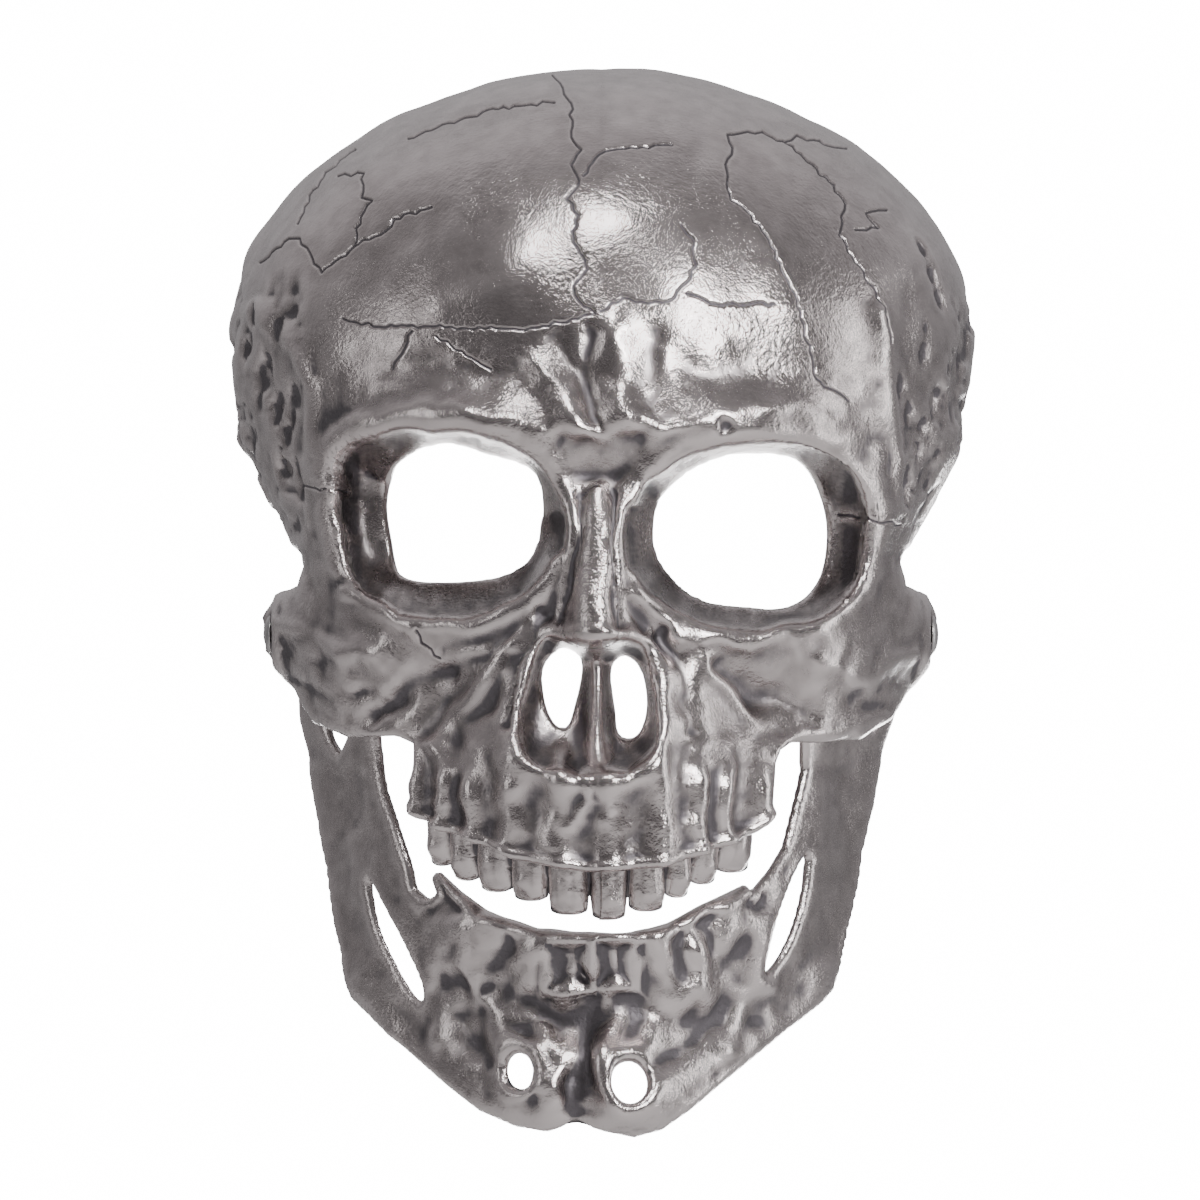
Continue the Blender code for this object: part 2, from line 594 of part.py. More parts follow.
def make_lower_jaw():
    bm = trimmed_blank(jaw_margin, JAW_BLANK_HALF, SHEET_STEP)
    seats = [(side, STACK["tab"], HINGE_Y, HINGE_Z, WASHER_RADIUS + SEAT_MARGIN) for side in SIDES.values()]
    lay_over(bm, jaw_form, WALL, flats=seats)
    jaw = add_object("lower_jaw", bm, cast_metal(), origin=(0.0, HINGE_Y, HINGE_Z))
    thin_out(jaw, JAW_SHARE)
    hinge_bore("lower_jaw", jaw)
    return jaw


def make_hinge_parts():
    for label, side in SIDES.items():
        out = (side, 0.0, 0.0)
        inner_end = STACK["clip"] - CLIP_THICKNESS - RIVET_TAIL
        head = STACK["seat"] + FIT_GAP
        bm = bmesh.new()
        add_disc_stack(bm, out, (0.0, HINGE_Y, HINGE_Z),
                       [(inner_end, RIVET_RADIUS * 0.85), (inner_end + 0.0004, RIVET_RADIUS),
                        (head, RIVET_RADIUS), (head, RIVET_HEAD_RADIUS),
                        (head + 0.5 * RIVET_HEAD_HEIGHT, RIVET_HEAD_RADIUS * 0.93),
                        (head + RIVET_HEAD_HEIGHT, RIVET_HEAD_RADIUS * 0.55)])
        add_object("hinge_rivet_" + label, bm, steel(), origin=(0.0, HINGE_Y, HINGE_Z))
        bore = RIVET_RADIUS + RUNNING_CLEARANCE
        bm = bmesh.new()
        start = side * (STACK["washer"] - WASHER_THICKNESS)
        add_ring(bm, out, (start, HINGE_Y, HINGE_Z), bore, WASHER_RADIUS, WASHER_THICKNESS)
        add_object("hinge_washer_" + label, bm, nylon(), origin=(0.0, HINGE_Y, HINGE_Z))
        bm = bmesh.new()
        start = side * (STACK["clip"] - CLIP_THICKNESS)
        add_ring(bm, out, (start, HINGE_Y, HINGE_Z), bore, CLIP_RADIUS, CLIP_THICKNESS)
        add_object("hinge_clip_" + label, bm, steel(), origin=(0.0, HINGE_Y, HINGE_Z))


def surface_of(solid):
    """A search tree of a finished piece, in world places."""
    bpy.context.view_layer.update()
    graph = bpy.context.evaluated_depsgraph_get()
    evaluated = solid.evaluated_get(graph)
    mesh = evaluated.to_mesh()
    points = [solid.matrix_world @ vert.co for vert in mesh.vertices]
    faces = [tuple(face.vertices) for face in mesh.polygons]
    evaluated.to_mesh_clear()
    return BVHTree.FromPolygons(points, faces)


def make_pad(name, wall, centre, half, flat_rear=False):
    """A foam pad behind a wall: its front follows the wall, one clearance away from it.

    Its rear face follows the front, or is one flat plane across the mask."""
    bm = bmesh.new()
    bmesh.ops.create_grid(bm, x_segments=8, y_segments=4, size=1.0)
    bmesh.ops.rotate(bm, verts=bm.verts[:], matrix=Matrix.Rotation(math.radians(90.0), 3, "X"))
    bmesh.ops.scale(bm, verts=bm.verts[:], vec=(half[0], 1.0, half[1]))
    bmesh.ops.translate(bm, verts=bm.verts[:], vec=(centre[0], 0.0, centre[1]))
    inward = Vector()
    for vert in bm.verts:
        hit, normal, _, _ = wall.ray_cast(Vector((vert.co.x, -0.02, vert.co.z)), Vector((0.0, -1.0, 0.0)))
        vert.co.y = hit.y
        inward += normal if normal.y > 0.0 else -normal
    inward.normalize()
    for vert in bm.verts:
        vert.co += inward * PAD_CLEARANCE
    rear = max(vert.co.y for vert in bm.verts) + PAD_THICKNESS
    grown = bmesh.ops.extrude_face_region(bm, geom=list(bm.faces))["geom"]
    for item in grown:
        if isinstance(item, bmesh.types.BMVert):
            item.co = Vector((item.co.x, rear, item.co.z)) if flat_rear else item.co + inward * PAD_THICKNESS
    bmesh.ops.recalc_face_normals(bm, faces=bm.faces[:])
    add_object(name, bm, foam(), smooth=False)


def make_pads(shell, jaw):
    inside = surface_of(shell)
    across, _, up = STRETCH
    make_pad("brow_pad", inside, (0.0, 44.0 * up), BROW_PAD_HALF, flat_rear=True)
    make_pad("crown_pad", inside, (0.0, 76.0 * up), CROWN_PAD_HALF)
    for label, side in SIDES.items():
        make_pad("cheek_pad_" + label, inside, (side * 59.5 * across, -33.5 * up), CHEEK_PAD_HALF)
    make_pad("chin_pad", surface_of(jaw), (-2.0 * across, -112.0 * up), CHIN_PAD_HALF)


# ---------------------------------------------------------------- strap

def strap_reach(inside):
    """X at strap level of the widest leaning plate that clears the side walls."""
    middle = -STRAP_START + 0.5 * ANCHOR_LENGTH
    reach = 0.5 * MASK_WIDTH
    for side in SIDES.values():
        for level in (-0.5 * STRAP_WIDTH, 0.5 * STRAP_WIDTH):
            for along in (-0.5 * ANCHOR_LENGTH, 0.0, 0.5 * ANCHOR_LENGTH):
                start = Vector((0.0, middle + along, STRAP_LEVEL + level))
                hit = inside.ray_cast(start, Vector((side, 0.0, 0.0)))[0]
                reach = min(reach, abs(hit.x) + math.tan(STRAP_LEAN) * level)
    return reach


def leaned_box(bm, side, plane, thickness, centre_y, length, height):
    """A plate parallel to the leaning side wall; plane is X of its outer face at strap level."""
    bmesh.ops.create_cube(bm, size=1.0)
    bmesh.ops.scale(bm, verts=bm.verts[:], vec=(thickness, length, height))
    bmesh.ops.bevel(bm, geom=bm.edges[:], offset=0.3 * thickness, segments=1, affect="EDGES", profile=0.5)
    bmesh.ops.translate(bm, verts=bm.verts[:], vec=(-0.5 * thickness, 0.0, 0.0))
    bmesh.ops.rotate(bm, verts=bm.verts[:], matrix=Matrix.Rotation(-STRAP_LEAN, 3, "Y"))
    bmesh.ops.translate(bm, verts=bm.verts[:], vec=(plane, centre_y, STRAP_LEVEL))
    if side < 0.0:
        bmesh.ops.scale(bm, verts=bm.verts[:], vec=(-1.0, 1.0, 1.0))
        bmesh.ops.reverse_faces(bm, faces=bm.faces[:])


def strap_path(plane):
    """Stations of the strap's middle surface, left end to right end: place, tangent and lean."""
    turn_y = STRAP_BACK - STRAP_BEND
    half = [(Vector((0.0, STRAP_BACK)), Vector((1.0, 0.0)), 0.0)]
    steps = 8
    for k in range(steps + 1):
        angle = 0.5 * math.pi * k / steps
        spot = Vector((plane - STRAP_BEND + STRAP_BEND * math.sin(angle),
                       turn_y + STRAP_BEND * math.cos(angle)))
        half.append((spot, Vector((math.cos(angle), -math.sin(angle))), STRAP_LEAN * k / steps))
    half.append((Vector((plane, -STRAP_START)), Vector((0.0, -1.0)), STRAP_LEAN))
    mirror = [(Vector((-s.x, s.y)), Vector((t.x, -t.y)), lean) for s, t, lean in reversed(half[1:])]
    return mirror + half


def make_strap(plane):
    bm = bmesh.new()
    rings = []
    for spot, tangent, lean in strap_path(plane):
        side = 1.0 if spot.x > 0.0 else -1.0
        width = Vector((-side * math.sin(lean), 0.0, math.cos(lean))) * 0.5 * STRAP_WIDTH
        forward = Vector((tangent.x, tangent.y, 0.0))
        out = forward.cross(width).normalized() * 0.5 * STRAP_THICKNESS
        centre = Vector((spot.x, spot.y, STRAP_LEVEL))
        corners = (centre - width - out, centre - width + out, centre + width + out, centre + width - out)
        rings.append([bm.verts.new(corner) for corner in corners])
    for near, far in zip(rings, rings[1:]):
        for k in range(4):
            after = (k + 1) % 4
            bm.faces.new((near[k], near[after], far[after], far[k]))
    bm.faces.new(rings[0])
    bm.faces.new(list(reversed(rings[-1])))
    bmesh.ops.recalc_face_normals(bm, faces=bm.faces[:])
    strap = add_object("head_strap", bm, webbing(), smooth=False)
    for label, side in SIDES.items():
        bm = bmesh.new()
        axis, centre = button_place(plane, side)
        radius = BUTTON_SHANK_RADIUS + RUNNING_CLEARANCE
        add_disc_stack(bm, axis, centre - axis * CUTTER_EXCESS, [(0.0, radius), (2.0 * CUTTER_EXCESS, radius)])
        cut_with(strap, "head_strap_bore_" + label, bm)


def button_place(plane, side):
    """Outward axis of a strap button and its point on the strap's middle surface."""
    axis = Vector((side * math.cos(STRAP_LEAN), 0.0, math.sin(STRAP_LEAN)))
    centre = Vector((side * plane, -STRAP_START + 0.5 * ANCHOR_LENGTH, STRAP_LEVEL))
    return axis, centre


def make_strap_parts(shell):
    plate_outer = strap_reach(surface_of(shell)) - ANCHOR_CLEARANCE
    plane = plate_outer - (ANCHOR_THICKNESS + FIT_GAP + 0.5 * STRAP_THICKNESS) / math.cos(STRAP_LEAN)
    make_strap(plane)
    for label, side in SIDES.items():
        bm = bmesh.new()
        leaned_box(bm, side, plate_outer, ANCHOR_THICKNESS, -STRAP_START + 0.5 * ANCHOR_LENGTH,
                   ANCHOR_LENGTH, STRAP_WIDTH)
        anchor = add_object("strap_anchor_" + label, bm, steel(), smooth=False)
        axis, centre = button_place(plane, side)
        radius = BUTTON_SHANK_RADIUS + RUNNING_CLEARANCE
        bm = bmesh.new()
        add_disc_stack(bm, axis, centre - axis * CUTTER_EXCESS, [(0.0, radius), (3.0 * CUTTER_EXCESS, radius)])
        cut_with(anchor, "strap_anchor_bore_" + label, bm)
        bm = bmesh.new()
        head = -0.5 * STRAP_THICKNESS - FIT_GAP
        tip = 0.5 * STRAP_THICKNESS + FIT_GAP + ANCHOR_THICKNESS - 0.0002
        add_disc_stack(bm, axis, centre,
                       [(head - BUTTON_HEIGHT, BUTTON_RADIUS * 0.6), (head - 0.5 * BUTTON_HEIGHT, BUTTON_RADIUS),
                        (head, BUTTON_RADIUS), (head, BUTTON_SHANK_RADIUS), (tip, BUTTON_SHANK_RADIUS)])
        add_object("strap_button_" + label, bm, steel())


def make_slider():
    """A loop of nylon that the strap runs through, at the back."""
    inner = (0.5 * STRAP_THICKNESS + RUNNING_CLEARANCE, 0.5 * STRAP_WIDTH + RUNNING_CLEARANCE)
    outer = (inner[0] + SLIDER_WALL, inner[1] + SLIDER_WALL)
    bm = bmesh.new()
    half = 0.5 * SLIDER_LENGTH
    loops = []
    for x in (-half, half):
        for reach_y, reach_z in (outer, inner):
            corners = ((-reach_y, -reach_z), (reach_y, -reach_z), (reach_y, reach_z), (-reach_y, reach_z))
            loops.append([bm.verts.new((x, STRAP_BACK + y, STRAP_LEVEL + z)) for y, z in corners])
    near_outer, near_inner, far_outer, far_inner = loops
    for first, second in ((near_outer, far_outer), (far_outer, far_inner), (far_inner, near_inner),
                          (near_inner, near_outer)):
        for k in range(4):
            after = (k + 1) % 4
            bm.faces.new((first[k], first[after], second[after], second[k]))
    bmesh.ops.recalc_face_normals(bm, faces=bm.faces[:])
    add_object("strap_slider", bm, nylon(), origin=(0.0, STRAP_BACK, STRAP_LEVEL), smooth=False)


def main():
    for old in list(bpy.data.objects):
        bpy.data.objects.remove(old, do_unlink=True)
    shell = make_skull_shell()
    make_tooth_row()
    jaw = make_lower_jaw()
    make_hinge_parts()
    make_pads(shell, jaw)
    make_strap_parts(shell)
    make_slider()


main()
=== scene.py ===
# %% [markdown]
# A skull mask in aged nickel
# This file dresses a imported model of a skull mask: a thin cast face shell, a jaw on two rivets, a row
# of teeth behind the gum, foam pads and an elastic strap.  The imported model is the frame: it says
# where each piece is and how the jaw and the strap's slider move.  Each step below builds one piece
# or one finish and prints what it made.

# %% Load the frame
import json
import math

import bmesh
import bpy
import numpy as np
from mathutils import Matrix, Vector


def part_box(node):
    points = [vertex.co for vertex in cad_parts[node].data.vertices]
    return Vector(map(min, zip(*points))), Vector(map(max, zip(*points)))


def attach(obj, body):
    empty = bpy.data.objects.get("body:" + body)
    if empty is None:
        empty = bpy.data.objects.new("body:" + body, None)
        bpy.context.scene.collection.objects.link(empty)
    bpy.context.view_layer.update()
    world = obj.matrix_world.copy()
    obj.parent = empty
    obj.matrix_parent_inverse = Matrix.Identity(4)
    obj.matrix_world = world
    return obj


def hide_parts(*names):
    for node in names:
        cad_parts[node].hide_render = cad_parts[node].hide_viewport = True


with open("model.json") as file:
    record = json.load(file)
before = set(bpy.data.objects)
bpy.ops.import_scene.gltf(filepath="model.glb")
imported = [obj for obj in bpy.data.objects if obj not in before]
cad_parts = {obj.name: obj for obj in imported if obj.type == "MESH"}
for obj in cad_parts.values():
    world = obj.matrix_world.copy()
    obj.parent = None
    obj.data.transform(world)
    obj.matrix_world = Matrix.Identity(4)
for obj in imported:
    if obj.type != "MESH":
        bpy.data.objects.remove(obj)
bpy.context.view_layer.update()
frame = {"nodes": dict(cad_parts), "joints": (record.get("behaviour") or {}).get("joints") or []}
MM = 0.001
print("frame:", sorted(frame["nodes"]))

# %% [markdown]
# Camera and light
# A polished metal face shows mostly what stands around it, so the light comes first.  The shell is
# seen straight from the front with a long lens.  A wide soft light stands to the right of the camera,
# one hangs over the brow, a strip stands at each side and one shines up from low behind.  The
# surroundings are a dim grey in front, so that the metal keeps dark parts, and lighter above and
# behind, which gives pale rims where the surface turns away.  The camera itself sees plain white.

# %% Camera, lights and stage
VIEW_CENTRE = Vector((-0.0003, -0.070, -0.0187))
VIEW_DISTANCE = 7.0
VIEW_WIDTH = 0.288
WHITE_STRENGTH = 16.0       # of the background, for the camera only
FLOOR_HALF, FLOOR_LEVEL = 4.0, -0.42

camera = bpy.data.objects.new("camera", bpy.data.cameras.new("camera"))
bpy.context.scene.collection.objects.link(camera)
camera.location = VIEW_CENTRE - Vector((0.0, VIEW_DISTANCE, 0.0))
camera.rotation_euler = (math.radians(90.0), 0.0, 0.0)
camera.data.lens = camera.data.sensor_width * VIEW_DISTANCE / VIEW_WIDTH
camera.data.clip_start = 0.05
bpy.context.scene.camera = camera


def soft_light(name, azimuth, elevation, distance, size, power):
    """An area light that looks at the face from a direction given in degrees; azimuth 0 is in front."""
    turn, rise = math.radians(azimuth), math.radians(elevation)
    away = Vector((math.sin(turn) * math.cos(rise), -math.cos(turn) * math.cos(rise), math.sin(rise)))
    data = bpy.data.lights.new(name, "AREA")
    data.shape = "RECTANGLE"
    data.size, data.size_y = size
    data.energy = power
    light = bpy.data.objects.new(name, data)
    light.location = VIEW_CENTRE + away * distance
    light.rotation_euler = (-away).to_track_quat("-Z", "Y").to_euler()
    bpy.context.scene.collection.objects.link(light)


soft_light("key_light", 36.0, 24.0, 1.3, (0.26, 0.40), 12.0)
soft_light("brow_light", -8.0, 62.0, 1.2, (0.30, 0.20), 5.0)
soft_light("left_light", -74.0, 12.0, 1.3, (0.22, 0.8), 1.4)
soft_light("right_light", 96.0, 4.0, 1.2, (0.25, 0.9), 3.0)
soft_light("rear_light", 176.0, -14.0, 1.3, (0.7, 0.4), 9.0)

world = bpy.data.worlds.new("studio")
world.use_nodes = True
room = world.node_tree
glow = room.nodes["Background"]
glow.inputs["Color"].default_value = (0.86, 0.84, 0.86, 1.0)
heading = room.nodes.new("ShaderNodeSeparateXYZ")
room.links.new(room.nodes.new("ShaderNodeTexCoord").outputs["Generated"], heading.inputs["Vector"])
strength = room.nodes.new("ShaderNodeMath")
strength.operation = "MULTIPLY"
# The room brightens towards the back (Y) and towards the ceiling (Z).
RAMPS = {"Y": (0.0, 1.0, 0.185, 0.66), "Z": (-0.30, 0.85, 0.22, 1.70)}
for factor, (axis, ends) in zip(strength.inputs, RAMPS.items()):
    ramp = room.nodes.new("ShaderNodeMapRange")
    room.links.new(heading.outputs[axis], ramp.inputs["Value"])
    for socket, value in zip(("From Min", "From Max", "To Min", "To Max"), ends):
        ramp.inputs[socket].default_value = value
    room.links.new(ramp.outputs["Result"], factor)
room.links.new(strength.outputs["Value"], glow.inputs["Strength"])
white = room.nodes.new("ShaderNodeBackground")
white.inputs["Color"].default_value = (1.0, 1.0, 1.0, 1.0)
white.inputs["Strength"].default_value = WHITE_STRENGTH
choice = room.nodes.new("ShaderNodeMixShader")
room.links.new(room.nodes.new("ShaderNodeLightPath").outputs["Is Camera Ray"], choice.inputs["Fac"])
room.links.new(glow.outputs["Background"], choice.inputs[1])
room.links.new(white.outputs["Background"], choice.inputs[2])
room.links.new(choice.outputs["Shader"], room.nodes["World Output"].inputs["Surface"])
bpy.context.scene.world = world

bm = bmesh.new()
bmesh.ops.create_grid(bm, x_segments=1, y_segments=1, size=FLOOR_HALF)
bmesh.ops.translate(bm, verts=bm.verts[:], vec=(0.0, 0.0, FLOOR_LEVEL))
mesh = bpy.data.meshes.new("floor")
bm.to_mesh(mesh)
bm.free()
paper = bpy.data.materials.new("floor_paper")
paper.use_nodes = True
paper.node_tree.nodes["Principled BSDF"].inputs["Base Color"].default_value = (0.74, 0.74, 0.74, 1.0)
paper.node_tree.nodes["Principled BSDF"].inputs["Roughness"].default_value = 0.9
mesh.materials.append(paper)
floor = bpy.data.objects.new("floor", mesh)
bpy.context.scene.collection.objects.link(floor)
print("camera lens %.0f mm, %d lights" % (camera.data.lens, len(bpy.data.lights)))

# %% [markdown]
# Curves and hills
# The face is shaped by a few kinds of line: a smooth function through chosen points, a closed curve
# for an eye hole, and the distance from any place to such a curve.  With a distance, a cup, a lip or
# a groove is one short expression.  Lengths in the shaping steps are in millimetres, because that is
# how a mask is measured; the mesh is scaled to metres when it is laid over its form.

# %% Helpers: steps, hills and curves
def smoothstep(t):
    """0 below 0, 1 above 1, and a smooth rise between."""
    t = np.clip(t, 0.0, 1.0)
    return t * t * (3.0 - 2.0 * t)


def hump(x, z, at, size):
    """A round hill of height 1 at a place seen from the front."""
    return np.exp(-((x - at[0]) / size[0]) ** 2 - ((z - at[1]) / size[1]) ** 2)


def curve_through(points):
    """A smooth function of one number through (input, value) pairs, in rising order of input."""
    xs = np.array([p[0] for p in points], float)
    ys = np.array([p[1] for p in points], float)
    slopes = np.gradient(ys, xs)

    def read(value):
        value = np.clip(value, xs[0], xs[-1])
        span = np.clip(np.searchsorted(xs, value) - 1, 0, len(xs) - 2)
        width = xs[span + 1] - xs[span]
        t = (value - xs[span]) / width
        level = ys[span] + (ys[span + 1] - ys[span]) * t * t * (3.0 - 2.0 * t)
        return level + width * (t * (1.0 - t) ** 2 * slopes[span] + t * t * (t - 1.0) * slopes[span + 1])

    return read


def closed_curve(points, per_span=6):
    """Points on a smooth closed curve through the given corners."""
    corners = np.array(points, float)
    before, after, beyond = (np.roll(corners, shift, axis=0) for shift in (1, -1, -2))
    rows = []
    for t in np.arange(per_span) / per_span:
        rows.append(0.5 * (2.0 * corners + (after - before) * t
                           + (2.0 * before - 5.0 * corners + 4.0 * after - beyond) * t ** 2
                           + (3.0 * corners - before - 3.0 * after + beyond) * t ** 3))
    return np.stack(rows, axis=1).reshape(-1, 2)


def edge_height(edge, x):
    """Height of a run of points at each x."""
    return np.interp(x, [point[0] for point in edge], [point[1] for point in edge])


def line_distance(points, x, z, closed=False):
    """Distance from each place to a run of straight spans."""
    ends = np.array(points, float)
    starts, stops = (ends, np.roll(ends, -1, axis=0)) if closed else (ends[:-1], ends[1:])
    nearest = np.full(np.shape(x), 1e9)
    for (ax, az), (bx, bz) in zip(starts, stops):
        ex, ez = bx - ax, bz - az
        along = np.clip(((x - ax) * ex + (z - az) * ez) / (ex * ex + ez * ez + 1e-12), 0.0, 1.0)
        nearest = np.minimum(nearest, (x - ax - along * ex) ** 2 + (z - az - along * ez) ** 2)
    return np.sqrt(nearest)


def depth_inside(outline, x, z):
    """Distance to a closed outline: positive inside it, negative outside."""
    inside = np.zeros(np.shape(x), bool)
    for (ax, az), (bx, bz) in zip(outline, np.roll(outline, -1, axis=0)):
        if az != bz:
            inside ^= ((az > z) != (bz > z)) & (x < (bx - ax) * (z - az) / (bz - az) + ax)
    nearest = line_distance(outline, x, z, closed=True)
    return np.where(inside, nearest, -nearest)


LATTICE = np.random.default_rng(41).random((128, 128))


def lumps(u, v, size, shift=0.0):
    """Soft random lumps of about the given size, between -1 and 1."""
    a, b = u / size + 37.0 + shift, v / size + 53.0 - shift
    i, j = np.floor(a).astype(int), np.floor(b).astype(int)
    s, t = smoothstep(a - i), smoothstep(b - j)
    at = lambda p, q: LATTICE[p % 128, q % 128]
    low = at(i, j) * (1 - s) + at(i + 1, j) * s
    high = at(i, j + 1) * (1 - s) + at(i + 1, j + 1) * s
    return 2.0 * (low * (1 - t) + high * t) - 1.0


# %% [markdown]
# The form of the upper shell
# A mask like this is pressed or cast over a form.  The form here is a dome whose silhouette is known
# all round: a flat layout plane is wrapped over it like cloth over a bowl, so that the mesh stays
# even where the temples turn to the back.  The face is then raised on it: brow, orbits, nose bones,
# cheekbones, the muzzle and the ridges over the tooth roots.

# %% Outlines of the face
EYE_HOLES = {
    "left": closed_curve([(-52, 5.5), (-49, 13.5), (-39, 18), (-28, 16), (-17, 11.5), (-15, 3.5),
                          (-18, -8), (-27, -13), (-40, -14), (-48.5, -12), (-51, -4)]),
    "right": closed_curve([(36, 15.5), (46, 14), (52, 7.5), (54.5, -2), (52.5, -13), (45, -19.3),
                           (33, -19.5), (22, -16.5), (14, -7), (14, 3), (20, 10), (28, 14.5)]),
}
ORBIT_RIMS = {
    "left": closed_curve([(-64, 15), (-52, 22.5), (-40, 22), (-27, 21), (-16, 15), (-9.5, 4.5),
                          (-10, -6), (-17, -17), (-32, -23), (-46, -23), (-58, -16), (-62.5, -5)]),
    "right": closed_curve([(9, 7), (15, 12), (23, 16.5), (37, 19), (52, 17), (62, 9.5), (64, -3),
                           (60.5, -17), (52, -24), (38, -26), (24, -24), (11, -16), (6, -7)]),
}
NOSE_RIM = closed_curve([(-13.5, -27.5), (-18, -37.5), (-20.5, -48), (-18.5, -56), (-11.5, -60),
                         (-2, -61), (7, -60), (13, -54), (13.5, -43), (11.5, -32), (6, -28), (-3, -29.5)])
NOSE_HOLES = {
    "left": closed_curve([(-8, -30.5), (-5.2, -33.5), (-6.2, -42), (-8, -48), (-11, -48), (-13.2, -43),
                          (-13.5, -36), (-11, -31.5)]),
    "right": closed_curve([(6, -32.5), (3, -35), (3.6, -45), (4.4, -50.5), (8, -50.5), (10.2, -44),
                           (9.4, -36)]),
}
NOSE_BONES = closed_curve([(-1.4, 8), (2.6, 4.3), (2.4, -8), (4.8, -22), (3, -28), (-2, -29.5),
                           (-7.5, -28), (-8.9, -22), (-4.8, -8), (-5, 4.3)])
FACE_LOWER_EDGE = [
    (-95, -31), (-84, -33), (-79, -36.5), (-74, -42), (-70, -48.5), (-61.5, -51.8), (-50, -51.3),
    (-45.6, -53), (-45, -58), (-46.4, -64), (-46.2, -69), (-38.6, -73.5), (-28.6, -77), (-20, -80.6),
    (-13, -82), (-3.6, -83.6), (6, -83.2), (15.5, -82), (28, -78), (36, -74.6), (40.8, -70.5),
    (41.6, -61), (42, -55), (45.5, -52.6), (53, -53), (63, -52.2), (70.5, -48), (74.5, -42),
    (79, -36.5), (84, -33), (95, -31)]
GUM_EDGE = FACE_LOWER_EDGE[10:21]
FACE = np.array(FACE_LOWER_EDGE + [(160, 40), (160, 160), (-160, 160), (-160, 40)], float)
TOOTH_GAPS = [-47.0, -41.2, -34.9, -26.5, -16.2, -3.7, 7.9, 19.4, 26.3, 33.2, 41.4]
TOOTH_TIPS = [-83.5, -87.0, -89.5, -91.6, -95.0, -96.2, -94.2, -90.8, -87.6, -85.0]

CROWN = [(0, 88.6), (6, 90.0), (12, 92.6), (18, 95.2), (28, 97.0), (40, 95.8), (54, 93.4), (70, 91.0),
         (90, 90.0)]
SOFT_RADIUS = curve_through([(-90, 230), (-80, 215), (-70, 180), (-60, 146), (-50, 119), (-40, 103),
                             (-30, 94), (-20, 89.5), (-10, 87.8)] + CROWN)
RIM_RADIUS = curve_through([(-90, 230), (-80, 215), (-70, 180), (-60, 146), (-50, 119), (-42, 104),
                            (-35, 97.5), (-29, 95.2), (-25.5, 88), (-22, 78.4), (-18, 79.8),
                            (-12, 82.4), (-6, 85.4)] + CROWN)
SHELL_DEPTH = 112.0
FORM_CENTRE = 20.0
print("outlines:", len(EYE_HOLES["left"]), "points round the left eye hole")


# %% Relief of the face
def orbit_cup(x, z, side):
    inward = depth_inside(ORBIT_RIMS[side], x, z)
    cup = 25.0 * (1.0 - np.exp(-np.maximum(inward, 0.0) / 6.0))
    return 2.2 * np.exp(-((inward + 2.0) / 3.5) ** 2) - cup


def face_relief(x, z):
    """Large forms in front of the plain dome."""
    relief = np.zeros_like(x)
    for side in (-1.0, 1.0):
        relief += 5.0 * hump(x, z, (side * 34.0, 25.0), (26.0, 8.0))
        relief += 7.0 * hump(x, z, (side * 60.0, -31.0), (15.0, 13.0))
        relief -= 8.0 * hump(x, z, (side * 36.0, -46.0), (11.0, 12.0))
        relief -= 4.0 * hump(x, z, (side * 80.0, 20.0), (10.0, 24.0))
    relief += 4.0 * hump(x, z, (0.0, 22.0), (13.0, 8.0))
    relief -= 3.0 * hump(x, z, (0.0, 11.0), (9.0, 5.0))
    bridge = smoothstep((16.0 - z) / 44.0) * smoothstep((z + 33.0) / 7.0)
    relief += 14.0 * bridge * np.exp(-(x / 8.5) ** 2)
    muzzle = smoothstep((-18.0 - z) / 45.0)
    relief += muzzle * (20.0 + 0.12 * np.maximum(-70.0 - z, 0.0)) * np.exp(-(np.abs(x) / 38.0) ** 2.6)
    relief += orbit_cup(x, z, "left") + orbit_cup(x, z, "right")
    inward = depth_inside(NOSE_RIM, x, z)
    septum = np.exp(-((x + 1.0) / 2.6) ** 2)
    relief -= (15.0 - 8.0 * septum) * (1.0 - np.exp(-np.maximum(inward, 0.0) / 3.5))
    return relief + 1.5 * np.exp(-((inward + 1.6) / 2.4) ** 2)


def shell_form(u, v, relief=face_relief):
    """Layout plane to form: X, depth in front of the rear rim, Z, and the swing from the pole."""
    reach = np.maximum(np.hypot(u, v), 1e-6)
    tilt = np.degrees(np.arctan2(v, np.abs(u)))
    soft, rim = SOFT_RADIUS(tilt), RIM_RADIUS(tilt)
    swing = reach / soft
    capped = np.minimum(swing, 0.5 * math.pi)
    radius = soft + (rim - soft) * smoothstep((capped - 0.90) / 0.55)
    x = u / reach * radius * np.sin(capped)
    z = FORM_CENTRE + v / reach * radius * np.sin(capped)
    fullness = 0.04 + 0.26 * np.sin(np.radians(np.clip(tilt, 0.0, 90.0))) ** 2
    depth = SHELL_DEPTH * np.cos(capped) * (1.0 + fullness * np.sin(capped) ** 2)
    return x, depth + smoothstep((1.50 - capped) / 0.35) * relief(x, z), z, swing


def plain_form(u, v):
    """The dome alone, which is quicker and enough for outlines."""
    return shell_form(u, v, relief=lambda x, z: 0.0 * x)


HINGE = next(joint for joint in frame["joints"] if joint["name"] == "jaw_hinge")["pos_m"]
HINGE_Y, HINGE_Z = HINGE[1] / MM, HINGE[2] / MM
SEAT = 79.5           # outer face of the arch under the rivet's head
TAB = 74.6            # outer face of the jaw's eye behind it
SEAT_RADIUS = 6.4     # of the flat round each rivet
RIVET_HOLE = 2.3
ARCH_END = 18.0       # depth of the arch's rear end
CLEAR = 100.0         # a margin that never limits the blank
NOTCH = (-25.3, -22.3, 1.12)     # tilt below, tilt above, and the swing where the temple notch starts


